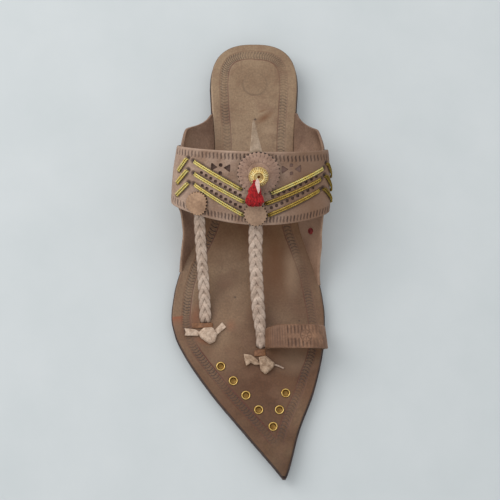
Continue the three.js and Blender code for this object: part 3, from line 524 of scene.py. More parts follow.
# %% Brass, gold thread and wool
def metal(name, bright, deep, shade_and_dish_tone, roughness, scratch, share):
    material, tree, shader, place = new_finish(name)
    tarnish = ranged(tree, noise(tree, place, 2.2, 4.0), 0.35, 0.7)
    colour = blend(tree, tarnish, tone(*bright), tone(*deep))
    # The stamp number darkens towards the third tone: painted shade in cord hollows, button valleys and
    # eyelet floors, and the button dish's own brown.
    colour = blend(tree, carried(tree, "stamp"), colour, tone(*shade_and_dish_tone))
    tree.links.new(colour, shader.inputs["Base Color"])
    shader.inputs["Metallic"].default_value = share
    tree.links.new(ranged(tree, tarnish, 0, 1, roughness, roughness + 0.18), shader.inputs["Roughness"])
    bumped(tree, shader, noise(tree, place, scratch, 2.0), 0.3, 0.05)
    return material


brass = metal("brass", (236, 202, 124), (184, 140, 66), (92, 58, 14), 0.24, 0.4, 0.85)
button_gilt = metal("button_gilt", (255, 240, 180), (242, 202, 112), (122, 70, 14), 0.28, 0.4, 0.6)
gold_thread = metal("gold_thread", (255, 246, 168), (250, 216, 98), (140, 100, 18), 0.25, 0.35, 0.4)
# Shaded copies of the gold thread, darker as painted shade, for the medial cords that turn away from the
# light.
shaded_thread = metal("shaded_thread", (226, 192, 92), (178, 140, 52), (84, 56, 14), 0.34, 0.35, 0.4)
deep_shaded_thread = metal("deep_shaded_thread", (176, 146, 52), (116, 90, 28), (52, 28, 8), 0.5, 0.35, 0.4)


def wool(name, bright, deep):
    material, tree, shader, place = new_finish(name)
    strands = ranged(tree, noise(tree, place, 1.6, 3.0), 0.35, 0.7)
    tree.links.new(blend(tree, strands, tone(*bright), tone(*deep)), shader.inputs["Base Color"])
    shader.inputs["Roughness"].default_value = 0.9
    shader.inputs["Sheen Weight"].default_value = 0.25
    shader.inputs["Sheen Tint"].default_value = tone(255, 120, 110)
    bumped(tree, shader, noise(tree, place, 0.3, 2.0), 0.5, 0.15)
    return material


red_wool = wool("red_wool", (193, 28, 32), (115, 13, 17))
print("finishes:", len(bpy.data.materials))

# %% [markdown]
# ## The outsole
# Layers of thick leather, glued and stained dark at the edge, with a low stacked heel. The side wall is
# one profile of small grooves where layers meet, carried round the whole outline from heel to toe.

# %% The outsole
EDGE_ROUND = 0.5
LAYER_GROOVE = 0.22
# Rows of share of the thickness and how far the wall is drawn in there.
EDGE_PROFILE = [
    (0.0, EDGE_ROUND), (0.04, 0.12), (0.1, 0.0), (0.3, 0.0), (0.335, LAYER_GROOVE), (0.37, 0.0),
    (0.62, 0.0), (0.655, LAYER_GROOVE), (0.69, 0.0), (0.9, 0.0), (0.96, 0.12), (1.0, EDGE_ROUND),
]


def sole_stations(heel_inset, tip_inset, heel_count, foot_count):
    """Places along the sole: close together round the heel, then even, then close at the tip."""
    turns = np.linspace(0.02, QUARTER, heel_count)
    heel = heel_inset + (HEEL_ROUND - heel_inset) * (1 - np.cos(turns) ** (2 / HEEL_SQUARENESS))
    tip = SOLE_LENGTH - 2 * tip_inset
    foot = np.linspace(HEEL_ROUND, tip - 4, foot_count)[1:]
    return np.sort(np.concatenate([heel, foot, [tip - 3, tip - 2, tip - 1, tip], [62.2, 63.8]]))


def outsole():
    stations = sole_stations(0, 0, 40, 170)
    y = HEEL_BACK - stations
    under = read_table(OUTSOLE_PROFILE, 1, stations)
    top = outsole_top(y)
    breadth = sole_edge(stations, MEDIAL, 0) - sole_edge(stations, LATERAL, 0)
    columns = []
    for side in (LATERAL, MEDIAL):
        rows = EDGE_PROFILE if side == LATERAL else EDGE_PROFILE[::-1]
        for share, drawn_in in rows:
            x = sole_edge(stations, side, 0) - side * np.minimum(drawn_in, breadth / 4)
            columns.append(np.stack([x, y, under + (top - under) * share], -1))
    rings = np.stack(columns, axis=1)
    rows, ring = rings.shape[:2]
    points, faces = rings.reshape(-1, 3), ring_faces(rows, ring)
    piece = make_piece("sole_stack", points, faces, [outsole_leather], ["outsole"])
    grooves = np.array([drawn_in == LAYER_GROOVE for _, drawn_in in EDGE_PROFILE + EDGE_PROFILE[::-1]])
    mark(piece, "stamp", np.tile(grooves * 0.8, rows))


outsole()

# %% [markdown]
# ## The insole
# The tan top layer carries a stamped border: two scribed lines with a ladder of small oblong ring stamps
# between them. Bump alone would vanish in the exported mesh, so the border is pressed into a fine grid.
# Each point knows how far it is from the outline and how far round the outline it lies, and the stamps
# are drawn in those two numbers. Eyelet holes and strap slots are pressed in deep, as blind holes.

# %% The insole's measures
STAMP_WIDTH = 0.42
STAMP_DEPTH = 0.34
# Rows of distance from the heel's back and the border's setback at the lateral and the medial edge.
BORDER_SETBACK = [
    (0, 4.9, 4.9), (12, 5.6, 6.0), (28, 6.9, 7.0), (60, 7.0, 7.0), (130, 6.5, 6.4), (150, 6.3, 5.9),
    (162, 6.4, 6.0), (176, 6.8, 6.9), (190, 7.2, 6.4), (205, 5.8, 4.5), (214, 5.2, 4.5), (222, 5.7, 5.0),
    (231, 6.2, 6.3), (245, 6.9, 7.0), (260, 7.6, 7.6), (276, 8.2, 8.1), (302, 8.4, 8.3),
]
HEEL_RING = (3.3, 121.4, 8.3)
EYELETS = [(-19.5 + 8.4 * i, -76 - 9.77 * i) for i in range(4)]
EYELETS += [(15.2 + 4.25 * i, -116.5 + 11.25 * i) for i in range(3)]
EYELET_BORE = 2.6
PLAIT_SLOTS = {"centre": (7.2, -62.5), "side": (-30.0, -45.5)}
HOLE_DEPTH = 2.5
EYELET_DEPTH = 1.1
HEEL_SETBACK = 0.2
INSOLE_EDGE_ROUND = 1.2


def outline_measures(points):
    """For each point of the insole: its distance from the sole's edge and how far round it lies."""
    stations = sole_stations(0, 0, 500, 1100)
    sides = [np.stack([sole_edge(stations, s, 0), HEEL_BACK - stations], -1) for s in (LATERAL, MEDIAL)]
    across_back = np.linspace(sides[0][0], sides[1][0], 24)[1:-1]
    line = np.concatenate([sides[0][::-1], across_back, sides[1]])
    steps = np.linalg.norm(np.diff(line, axis=0), axis=1)
    round_at = np.append(0, np.cumsum(steps))
    tangents = unit(np.gradient(line, axis=0))
    tree = kdtree.KDTree(len(line))
    for i, (x, y) in enumerate(line):
        tree.insert((x, y, 0), i)
    tree.balance()
    nearest = np.array([tree.find((x, y, 0))[1] for x, y in points])
    offset = points - line[nearest]
    slid = np.einsum("ij,ij->i", offset, tangents[nearest])
    return np.linalg.norm(offset, axis=1), round_at[nearest] + np.clip(slid, -1, 1)


def soft_line(distance, width):
    """1 on a line and 0 away from it, with soft edges."""
    return np.clip(1 - (distance / width) ** 2, 0, 1)


def from_mark(place, pitch):
    """How far a place lies past the nearest of evenly spaced marks."""
    return (place / pitch - np.round(place / pitch)) * pitch


def border_measures(points):
    """Rim distance, place across and around the border, and how strong stamps and lines are there."""
    rim, around = outline_measures(points)
    from_heel = HEEL_BACK - points[:, 1]
    middle_x = (sole_edge(from_heel, LATERAL, 0) + sole_edge(from_heel, MEDIAL, 0)) / 2
    setbacks = [read_table(BORDER_SETBACK, column, from_heel) for column in (1, 2)]
    lateral = points[:, 0] < middle_x
    across = rim - np.where(lateral, *setbacks) - BORDER_WIDTH / 2
    uneven = np.sin(around / 23) * 0.22 + np.sin(around / 7.3 + 1.3) * 0.2 + np.sin(around / 3.1) * 0.12
    toe = smooth_step(277, 284, from_heel)
    deeper = lateral * (0.35 * soft_line(from_heel - 140, 30) + 0.34 * soft_line(from_heel - 222, 42))
    fade = np.clip(0.66 + uneven + deeper - 0.2 * smooth_step(215, 260, from_heel) - toe, 0, 1)
    flank = lateral * smooth_step(205, 220, from_heel)
    return rim, across, around, fade, np.clip(0.85 + uneven - toe, 0, 1) * (1 + 0.8 * flank)


def border_relief(across, around, fade, line_fade):
    """How deep the stamped border is pressed at each point, 0 to 1."""
    slid = from_mark(around + STAMP_SLANT * across, STAMP_PITCH)
    oval = np.hypot(across / STAMP_REACH[0], slid / STAMP_REACH[1]) - 1
    lines = soft_line(np.abs(across) - BORDER_WIDTH / 2, 0.45) * np.where(across > 0, 1, OUTER_LINE)
    return np.maximum(lines * line_fade * 0.8, soft_line(oval * STAMP_REACH[1], STAMP_WIDTH) * fade)


print("stamps in 100 mm of border:", int(100 / STAMP_PITCH))

# %% The insole's edges and holes
def insole_columns():
    """Shares of the width: close together near both edges, where the border is."""
    edge = np.linspace(0, 0.17, 43)
    middle = np.linspace(0.17, 0.83, 58)[1:-1]
    return np.concatenate([edge, middle, 1 - edge[::-1]])


def setback_at(stations, side):
    """How far the insole lies inside the outsole: nearly flush at the heel's back and the lateral toe."""
    setback = HEEL_SETBACK + (INSOLE_SETBACK - HEEL_SETBACK) * smooth_step(4, 30, stations)
    return setback - np.where(side < 0, 0.4, 0) * smooth_step(200, 225, stations)


def insole_edges(stations):
    """The insole's two edges, drawn in where the ears come down between it and the outsole."""
    y = HEEL_BACK - stations
    beside_ear = smooth_step(-14, -6, y) * (1 - smooth_step(97, 103, y))
    return [sole_edge(stations, s, setback_at(stations, s)) - s * 0.6 * beside_ear for s in (LATERAL, MEDIAL)]


def pressed_holes(points):
    """How deep each point lies in a punched hole or slot, 0 to 1."""
    depth = np.zeros(len(points))
    for x, y in EYELETS:
        away = np.hypot(points[:, 0] - x, points[:, 1] - y)
        bored = 1 - smooth_step(EYELET_BORE - 0.5, EYELET_BORE, away)
        depth = np.maximum(depth, EYELET_DEPTH / HOLE_DEPTH * bored)
    for x, y in PLAIT_SLOTS.values():
        away = np.maximum(np.abs(points[:, 0] - x) / 3.0, np.abs(points[:, 1] - y - 0.6) / 1.5)
        depth = np.maximum(depth, 1 - smooth_step(0.85, 1.05, away))
    return depth


print("holes in the insole:", len(EYELETS) + len(PLAIT_SLOTS))

# %% The insole's stains and scuffs
# Stains, grime and scuffs are rows of place, half length, half width, angle and strength. The stains lie
# beside the side plait and the knots. The first row of grime is painted shade beside the centre plait in
# front of the band; the last two rows of grime are brown strokes at the heel. Specks are place and size.
# The wedge is a stain at the lateral edge, sharp towards the heel: its inner end, its upper edge and how
# soon it fades towards the toe.
STAINS = [
    (-36.3, -41.5, 12.0, 5.0, 1.5, 0.45), (-13.2, -48.0, 6.0, 4.0, 1.2, 0.4),
    (-32.2, -58.5, 7.0, 3.0, -0.4, 0.45),
]
GRIME_AND_SHADE = [
    (17.0, 2.0, 17.0, 44.0, 0.0, 0.95), (8.0, -84.0, 30.0, 24.0, 0.0, 0.1),
    (10.0, 96.6, 9.0, 3.4, 0.6, 0.95), (8.6, 101.6, 4.0, 1.1, 0.4, 0.7),
]
SCUFFS = [(14.0, 88.0, 9.0, 4.0, 0.0, 0.25), (28.0, -8.0, 7.0, 24.0, 0.0, 0.3)]
WEDGE = (-44.4, -40.9, 3.2)
SPECKS = [(-10.4, -28.6, 0.9), (15.0, -30.5, 0.5), (33.0, -45.0, 0.6), (3.6, 95.4, 1.0), (40.2, -49.0, 0.7)]


def patches(flat, rows):
    """Soft oval patches: the strongest one at each point."""
    strongest = np.zeros(len(flat))
    for x, y, half_length, half_width, angle, strength in rows:
        away = flat - (x, y)
        lengthways = away[:, 0] * math.cos(angle) + away[:, 1] * math.sin(angle)
        sideways = away[:, 1] * math.cos(angle) - away[:, 0] * math.sin(angle)
        reach = np.hypot(lengthways / half_length, sideways / half_width)
        strongest = np.maximum(strongest, strength * np.clip(1 - reach, 0, 1))
    return strongest


def insole_specks(flat):
    speck = np.zeros(len(flat))
    for x, y, size in SPECKS:
        speck = np.maximum(speck, 1 - smooth_step(size * 0.5, size, np.hypot(flat[:, 0] - x, flat[:, 1] - y)))
    return speck


def insole_stains(flat):
    inner_x, upper_y, fading = WEDGE
    below = upper_y - flat[:, 1] + 0.12 * (flat[:, 0] - inner_x)
    stain = 1.25 * smooth_step(0, 1.2, below) * np.exp(-np.clip(below, 0, None) / fading)
    stain = stain * (1 - smooth_step(inner_x - 1.4, inner_x, flat[:, 0]))
    return np.clip(np.maximum(stain, patches(flat, STAINS)), 0, 1)


def insole_grime_and_shade(flat):
    """Painted shade under the band and beside the centre plait in front of it, and grime from feet and dust.
    """
    band_shade = smooth_step(-14, 14, flat[:, 1]) * (1 - smooth_step(60, 80, flat[:, 1]))
    return np.maximum(band_shade * 0.5, patches(flat, GRIME_AND_SHADE))


def insole_scuffs_and_light(flat, from_edge):
    # Painted light on the insole under the toe loop, against the loop's shadow.
    lit = flat - (30.0, -73.0)
    loop_shadow_light = np.clip(1.4 - 1.4 * np.hypot(lit[:, 0] / 17, lit[:, 1] / 11), 0, 1)
    scuff_and_light = np.maximum(patches(flat, SCUFFS), 0.22 * loop_shadow_light)
    heel_rim = (flat[:, 0] < 0) * soft_line(flat[:, 1] - 106, 17) * soft_line(from_edge - 0.7, 0.9)
    return np.maximum(scuff_and_light, 0.3 * heel_rim)


print("stains:", len(STAINS), "grime:", len(GRIME_AND_SHADE), "scuffs:", len(SCUFFS), "specks:", len(SPECKS))

# %% The insole
def insole():
    stations = sole_stations(HEEL_SETBACK, INSOLE_SETBACK, 90, 470)
    shares = insole_columns()
    y = HEEL_BACK - stations
    lateral, medial = insole_edges(stations)
    x = lateral[:, None] + (medial - lateral)[:, None] * shares
    flat = np.stack([x, np.repeat(y[:, None], len(shares), 1)], -1).reshape(-1, 2)
    rim, across, around, fade, line_fade = border_measures(flat)
    stamp = border_relief(across, around, fade, line_fade)
    ring_x, ring_y, ring_radius = HEEL_RING
    ring_place = flat - (ring_x, ring_y)
    ring = soft_line(np.hypot(*ring_place.T) - ring_radius, 0.8)
    ring = ring * (0.5 - 0.3 * ring_place[:, 1] / ring_radius)
    relief = np.maximum(stamp, ring * 0.6)
    middle = np.repeat((lateral + medial) / 2, len(shares))
    from_edge = rim - setback_at(HEEL_BACK - flat[:, 1], flat[:, 0] - middle)
    fall = np.clip(INSOLE_EDGE_ROUND - from_edge, 0, INSOLE_EDGE_ROUND)
    rounding = INSOLE_EDGE_ROUND - np.sqrt(np.maximum(INSOLE_EDGE_ROUND**2 - fall**2, 0))
    holes = pressed_holes(flat)
    uneven = flat_noise(*flat.T, 9.0, 4) * 0.07
    z = insole_top(flat[:, 1]) - rounding * 0.7 - relief * STAMP_DEPTH - holes * HOLE_DEPTH
    z = z + uneven * (rim > 2)
    top = np.c_[flat, z]
    rows, columns = len(stations), len(shares)
    faces = grid_faces(rows, columns).reshape(-1, 4).tolist()
    at = np.arange(rows * columns).reshape(rows, columns)
    loop = np.concatenate([at[:-1, 0], at[-1, :-1], at[:0:-1, -1], at[0, :0:-1]])
    floor = top[loop].copy()
    floor[:, 2] = outsole_top(floor[:, 1]) + PIECE_GAP
    low = np.arange(len(loop)) + rows * columns
    for i in range(len(loop)):
        j = (i + 1) % len(loop)
        faces.append([loop[j], loop[i], low[i], low[j]])
    left = low[:rows]
    right = low[rows + columns - 2 : 2 * rows + columns - 2][::-1]
    for i in range(rows - 1):
        faces.append([left[i], right[i], right[i + 1], left[i + 1]])
    faces.append(low[rows - 1 : rows + columns - 1].tolist()[::-1])
    faces.append([low[0], *low[: 2 * rows + columns - 4 : -1].tolist()][::-1])
    points = np.concatenate([top, floor])
    finishes = [insole_leather, outsole_leather]
    is_wall = np.arange(len(faces)) >= (rows - 1) * (columns - 1)
    piece = make_piece("insole_top", points, faces, finishes, ["insole"], is_wall)
    toe_flank = smooth_step(195, 225, HEEL_BACK - flat[:, 1])
    heel_back = 0.7 * smooth_step(128, 140, flat[:, 1])
    burnt_rim = np.maximum(0.9 * toe_flank, heel_back) * (1 - smooth_step(0.1, 0.6, from_edge))
    blank = np.zeros(len(floor))
    # The heel ring and the burnt rim darken as stamped and burnt leather; the holes and slots are darkened as
    # painted shade.
    stamps_and_shade = np.maximum.reduce([ring * 0.45, np.clip(holes * 2.4, 0, 0.95), burnt_rim])
    carried_values = {
        "stamp": np.clip(np.maximum(stamps_and_shade, insole_specks(flat)), 0, 1),
        "stain": insole_stains(flat),
        "grime_and_shade": insole_grime_and_shade(flat),
        "scuff_and_light": insole_scuffs_and_light(flat, from_edge),
        "border_across": across,
        "border_around": around,
        "border_fade": fade,
        "line_fade": line_fade,
    }
    for name, values in carried_values.items():
        mark(piece, name, np.append(values, blank))


insole()

# %% [markdown]
# ## The upper
# The instep band laps over two side ears that come up from between the soles. Both are flat leather bent
# over the last. The band's stamped bars, punched holes and cut-outs are marked in its own flat
# coordinates. Holes are cut by leaving grid faces out and sliding the nearest points onto the hole's edge,
# which keeps each edge clean without a boolean.

# %% The ears
# Rows of place along the foot and height of the cut edge over the outsole.
EAR_EDGE = {
    LATERAL: [
        (100, 2.6), (95.1, 8.3), (92.8, 14), (91.3, 24.2), (89.5, 26.4), (84, 30), (70, 31), (40, 24),
        (30, 20.5), (20, 16.5), (10, 12.5), (0, 8.2), (-10, 2.6),
    ],
    MEDIAL: [
        (101, 2.6), (95.1, 8.6), (91.8, 15), (90.2, 24.4), (88, 27), (82, 30), (70, 31), (40, 24),
        (28, 20.5), (16, 16.5), (4, 12), (-8, 7.4), (-19, 2.6),
    ],
}


def turn_at_rise(along, rise):
    """How far the last has turned at a height above the outsole."""
    base_z = outsole_top(along) + PIECE_GAP
    crown_z = CROWN_FRONT_Z + CROWN_SLOPE * (along - BAND_FRONT)
    past = np.clip((rise - WIDEST_RISE) / (crown_z - base_z - WIDEST_RISE), -1, 1)
    return np.where(rise <= WIDEST_RISE, (rise / WIDEST_RISE - 1) * QUARTER, np.arcsin(np.clip(past, 0, 1)))


def ear(side, name):
    table = EAR_EDGE[side]
    rear, front = table[0][0], table[-1][0]
    along = np.concatenate([np.linspace(rear, 86, 60), np.linspace(86, front, 110)[1:]])
    top = read_table(table, 1, along)
    shares = np.linspace(0, 1, 30)
    rise = top[:, None] * shares
    turn = turn_at_rise(along[:, None], rise)
    place = last_point(side, along[:, None], turn)
    wave = smooth_noise(place, 11.0, 7 + side) * 0.3 * shares
    rounded = 0.45 * smooth_step(0.93, 1.0, shares)
    outer = lifted(side, along[:, None], turn, wave - rounded)
    inner = lifted(side, along[:, None], turn, wave - EAR_WALL + rounded)
    # Painted shading on the ears: the medial ear's rear is darkened as painted shade and its front lightened
    # as painted light; the lateral ear gets less of both.
    shading_weight = 1 if side == MEDIAL else 0.3
    dark = 0.35 * shading_weight * smooth_step(70, 90, along)[:, None]
    rubbed_and_lit = 0.3 * shading_weight * (1 - smooth_step(20, 45, along))[:, None]
    marks = {"stamp": (dark, dark), "rub_and_light": (rubbed_and_lit, rubbed_and_lit)}
    make_panel(name, (outer, inner), [ear_leather, ear_cut], ["upper"], marks)


ear(LATERAL, "ear_lateral")
ear(MEDIAL, "ear_medial")

# %% The band's holes
# Each hole is (kind, around, share, size): a "dot" is a square-ish punch, a "wing" half a butterfly.
PUNCHED_ROWS = [
    (-36, 0.65, -10.2, 0.397), (-35, 0.465, -10.2, 0.235), (40, 0.617, 10.6, 0.388), (37.5, 0.46, 9.8, 0.237),
]
PUNCHED_PER_ROW = 9
PUNCH_SIZE = 2.1
CUTOUT_CENTRES = [(-23.4, 0.735), (22.8, 0.755)]
WING_LENGTH, WING_OFFSET, WING_SPREAD = 4.65, 1.9, math.radians(34)
WING_ROUND = 0.9
WING_LIFTS = (0.022, 0)
DOT_SIZE, DOT_OFFSET = 2.5, 2.75


def band_holes():
    holes = []
    for from_around, from_share, to_around, to_share in PUNCHED_ROWS:
        for t in np.linspace(0, 1, PUNCHED_PER_ROW):
            place = (from_around + (to_around - from_around) * t, from_share + (to_share - from_share) * t)
            holes.append(("dot", *place, PUNCH_SIZE))
    for (around, share), lift in zip(CUTOUT_CENTRES, WING_LIFTS):
        for way in (-1, 1):
            holes.append(("wing", around + way * WING_OFFSET, share + lift, way * WING_LENGTH))
            holes.append(("dot", around, share + way * DOT_OFFSET / CROWN_WIDTH, DOT_SIZE))
    return holes


def hole_distance(u, v, kind, around, share, size):
    """Distance outside a hole's edge in flat millimetres, negative inside it."""
    x, y = u - around, v - share * CROWN_WIDTH
    if kind == "dot":
        return (np.abs(x) ** 3 + np.abs(y) ** 3) ** (1 / 3) - size / 2
    x = x * np.sign(size)
    sides = np.abs(y) * math.cos(WING_SPREAD) - x * math.sin(WING_SPREAD)
    cap = np.hypot(x, y * 0.5) - abs(size)
    rounded = np.hypot(np.maximum(sides + WING_ROUND, 0), np.maximum(cap + WING_ROUND, 0))
    return rounded + np.minimum(np.maximum(sides, cap) + WING_ROUND, 0) - WING_ROUND


def nearest_hole(u, v):
    return np.min([hole_distance(u, v, *hole) for hole in band_holes()], axis=0)


print("holes in the band:", len(band_holes()))

# %% The band's bars and pricked holes
BAR_PITCH, REAR_BAR_PITCH = 2.3, 2.6
BAR_WIDTH = 0.7
BAR_LENGTH = 4.3
BAR_DEPTH = 0.55
BAR_SETBACK = 1.7
BAR_CURVE = 0.16
CORNER_SHARE, CORNER_LENGTH = 0.2, 7
LINING_TOP = 1.2
# Each cord is (name, from around, from share, to around, to share).
GOLD_CORDS = [
    ("lateral_rear", -41.5, 0.795, -10, 0.48), ("lateral_middle", -40.5, 0.61, -8, 0.31),
    ("lateral_front", -40, 0.45, -9, 0.13), ("medial_rear", 45, 0.72, 10.5, 0.44),
    ("medial_middle", 43, 0.565, 6.5, 0.297), ("medial_front", 42, 0.405, 8.5, 0.14),
    ("lateral_side_rear", -47.4, 0.815, -52.8, 0.6), ("lateral_side_middle", -46.3, 0.635, -53.4, 0.4),
    ("lateral_side_front", -45.4, 0.44, -53.5, 0.2), ("medial_side_rear", 49.5, 0.78, 56, 0.55),
    ("medial_side_middle", 47.5, 0.6, 56, 0.34), ("medial_side_front", 46, 0.41, 56, 0.16),
]


def stamped_bars(u, across, width):
    """Short curved bars pressed side by side along both long edges of the band, 0 to 1."""
    shifted = smooth_step(5, 25, u) * np.where(across < width / 2, -0.7, 1.0)
    from_edge = np.minimum(across, width - across) - shifted
    leaned = u + BAR_CURVE * np.sin((from_edge - BAR_SETBACK) * 1.5)
    pitch = np.where(across < width / 2, BAR_PITCH, REAR_BAR_PITCH)
    belly = 0.6 + 0.4 * np.sin(math.pi * np.clip((from_edge - BAR_SETBACK) / BAR_LENGTH, 0, 1))
    lengthways = soft_line(from_mark(leaned, pitch), BAR_WIDTH * belly)
    reach = smooth_step(BAR_SETBACK - 0.3, BAR_SETBACK + 0.2, from_edge)
    reach = reach * (1 - smooth_step(BAR_SETBACK + BAR_LENGTH - 0.4, BAR_SETBACK + BAR_LENGTH, from_edge))
    uneven = 0.8 + 0.2 * np.sin(u * 1.9) * np.sin(u * 0.37 + 1)
    return lengthways * reach * uneven


def cord_dents(u, v):
    """The pricked holes that the cords come out of, darkened as painted shade, and the crease beside each
    cord with a painted shadow on one side, 0 to 1.
    """
    hole, crease_and_shadow = np.zeros(u.shape), np.zeros(u.shape)
    for _, from_around, from_share, to_around, to_share in GOLD_CORDS:
        start = np.array([from_around, from_share * CROWN_WIDTH])
        run = np.array([to_around, to_share * CROWN_WIDTH]) - start
        length = np.linalg.norm(run)
        run = run / length
        along = (u - start[0]) * run[0] + (v - start[1]) * run[1]
        aside = (v - start[1]) * run[0] - (u - start[0]) * run[1]
        hole = np.maximum(hole, soft_line(np.hypot(along + 1.3, aside), 2.3))
        hole = np.maximum(hole, soft_line(np.hypot(along - length - 0.7, aside), 1.6))
        inside = smooth_step(-0.5, 0.5, along) * (1 - smooth_step(length - 0.5, length + 0.5, along))
        # A painted shadow along one side of each cord, the side away from the light, over a shallow crease.
        crease_and_shadow = np.maximum(crease_and_shadow, inside * soft_line(aside - 0.75, 2.3))
    return hole, crease_and_shadow


def slide_to_holes(u, v, keep):
    """Moves the points round each hole onto the hole's edge."""
    shared = np.zeros(u.shape, int)
    for rows in (slice(None, -1), slice(1, None)):
        for columns in (slice(None, -1), slice(1, None)):
            shared[rows, columns] += keep
    on_rim = (shared > 0) & (shared < 4) & (nearest_hole(u, v) < 0.6)
    for _ in range(2):
        gap, probe = nearest_hole(u, v), 0.02
        slope_u = (nearest_hole(u + probe, v) - gap) / probe
        slope_v = (nearest_hole(u, v + probe) - gap) / probe
        step = np.where(on_rim, gap / np.maximum(slope_u**2 + slope_v**2, 0.2), 0)
        u = u - np.clip(step * slope_u, -0.3, 0.3)
        v = v - np.clip(step * slope_v, -0.3, 0.3)
    return u, v


print("cords on the band:", len(GOLD_CORDS))

# %% The band
def band_sheet(step, columns):
    """Flat places over the whole band, its ends rounded off at the corners."""
    u = np.arange(BAND_ENDS[0], BAND_ENDS[1] + 0.01, step)[:, None]
    t = np.linspace(0, 1, columns)[None, :]
    from_end = np.minimum(u - BAND_ENDS[0], BAND_ENDS[1] - u)
    into_corner = 1 - np.clip(from_end / CORNER_LENGTH, 0, 1)
    drawn_in = CORNER_SHARE * (1 - np.sqrt(np.clip(1 - into_corner**2, 0, 1)))
    u, v = np.broadcast_arrays(u, (drawn_in + (1 - 2 * drawn_in) * t) * CROWN_WIDTH)
    return u.copy(), v.copy()


def band():
    u, v = band_sheet(0.42, 108)
    middles = [(a[:-1, :-1] + a[1:, :-1] + a[:-1, 1:] + a[1:, 1:]) / 4 for a in (u, v)]
    keep = nearest_hole(*middles) > 0
    u, v = slide_to_holes(u, v, keep)
    share = v / CROWN_WIDTH
    width = np.linalg.norm(on_band(u[:, :1], 1, 0) - on_band(u[:, :1], 0, 0), axis=-1)
    bars = stamped_bars(u, share * width, width)
    hole, crease_and_shadow = cord_dents(u, v)
    pressed = np.maximum(bars, hole)
    wave = flat_noise(u, v, 9.0, 3) * 0.16
    edge = np.minimum(share * width, (1 - share) * width)
    rounding = 0.5 * np.clip(1 - edge / 0.9, 0, 1) ** 2
    outer = on_band(u, share, BAND_WALL + wave - rounding - pressed * BAR_DEPTH - hole * 0.4 - crease_and_shadow * 0.15)
    inner = on_band(u, share, np.full(u.shape, LINING_TOP + 0.02))
    # The bars darken as stamped leather; the pricked holes and the cords' sides are darkened as painted
    # shade.
    dark = np.maximum(pressed * 0.95, crease_and_shadow * 0.65)
    rubbed_and_lit = np.maximum(0.35 * (1 - smooth_step(0.2, BAR_SETBACK, edge)), 0.2 * smooth_step(30, 52, -u))
    # Painted shade over the medial half of the band, which turns away from the light.
    soil_and_shade = 0.78 * smooth_step(0, 34, u)
    marks = {"stamp": (dark, 0.6), "rub_and_light": (rubbed_and_lit, 0), "soil_and_shade": (soil_and_shade, 0)}
    finishes = [upper_leather, cut_leather]
    make_panel("instep_band", (outer, inner), finishes, ["upper"], marks, keep)


def band_lining():
    u, v = band_sheet(0.9, 54)
    inset = np.clip(v, 0.3, CROWN_WIDTH - 0.3) / CROWN_WIDTH
    around, share = CUTOUT_CENTRES[1]
    swollen = 1 - smooth_step(7, 11, np.hypot(u - around, v - share * CROWN_WIDTH))
    outer = on_band(u, inset, LINING_TOP + 0.7 * swollen)
    inner = on_band(u, inset, np.full(u.shape, 0.05))
    marks = {"rub_and_light": (swollen * 0.8, swollen * 0.8)}
    make_panel("band_lining", (outer, inner), [lining_leather], ["upper"], marks)


band()
band_lining()

# %% [markdown]
# ## The toe loop
# A flat strap over the big toe, from a slot in the insole to the sole's inner edge, with two rows of bars
# pressed across it. It is a panel bent along one arch.

# %% The toe loop
TOE_STRAP_WALL = 2.2
TOE_STRAP_FRONT, TOE_STRAP_REAR = -67.9, -52
TOE_STRAP_RISE = 24.2
TOE_STRAP_SLOT_X = 11.2
TOE_STRAP_FLARE = 2.6
TOE_STRAP_FLATNESS = 4.2
TOE_STRAP_SHEAR = 0.13
TOE_STRAP_LEAN = (0.17, 0.13)
TOE_STRAP_CORNER = 1.7
TOE_BAR_PITCH = 2.45
TOE_LINE_PITCH = 1.7
TOE_LINES_END = 25.0
ROSETTE = (37.6, -59.6, 3.7)


def toe_loop_stamps(x, y, s):
    """Close lines at the loop's inner end, two rows of bars and one stamped rosette, 0 to 1."""
    width = TOE_STRAP_REAR - TOE_STRAP_FRONT
    across = (y - TOE_STRAP_FRONT) / width
    rows = np.maximum(soft_line(across - 0.23, 0.2), soft_line(across - 0.79, 0.19)) ** 0.35
    bars = soft_line(from_mark(s, TOE_BAR_PITCH), 0.75) * rows
    bars = bars * (x > TOE_LINES_END) * (1 - 0.6 * smooth_step(36, 44, x))
    lines = soft_line(from_mark(s, TOE_LINE_PITCH), 0.5) * soft_line(across - 0.5, 0.47) ** 0.3
    lines = lines * (x <= TOE_LINES_END) * 0.45
    away_x, away_y = x - ROSETTE[0], y - ROSETTE[1]
    away = np.hypot(away_x, away_y)
    petals = soft_line(np.sin(4 * np.arctan2(away_y, away_x)) * away * 0.25, 0.4)
    petals = petals * (away > 0.7) * (away < ROSETTE[2])
    rosette = np.maximum(petals * 0.6, soft_line(away - ROSETTE[2], 0.5) * 0.6)
    return np.where(away < ROSETTE[2] + 0.6, rosette, np.maximum(bars, lines))


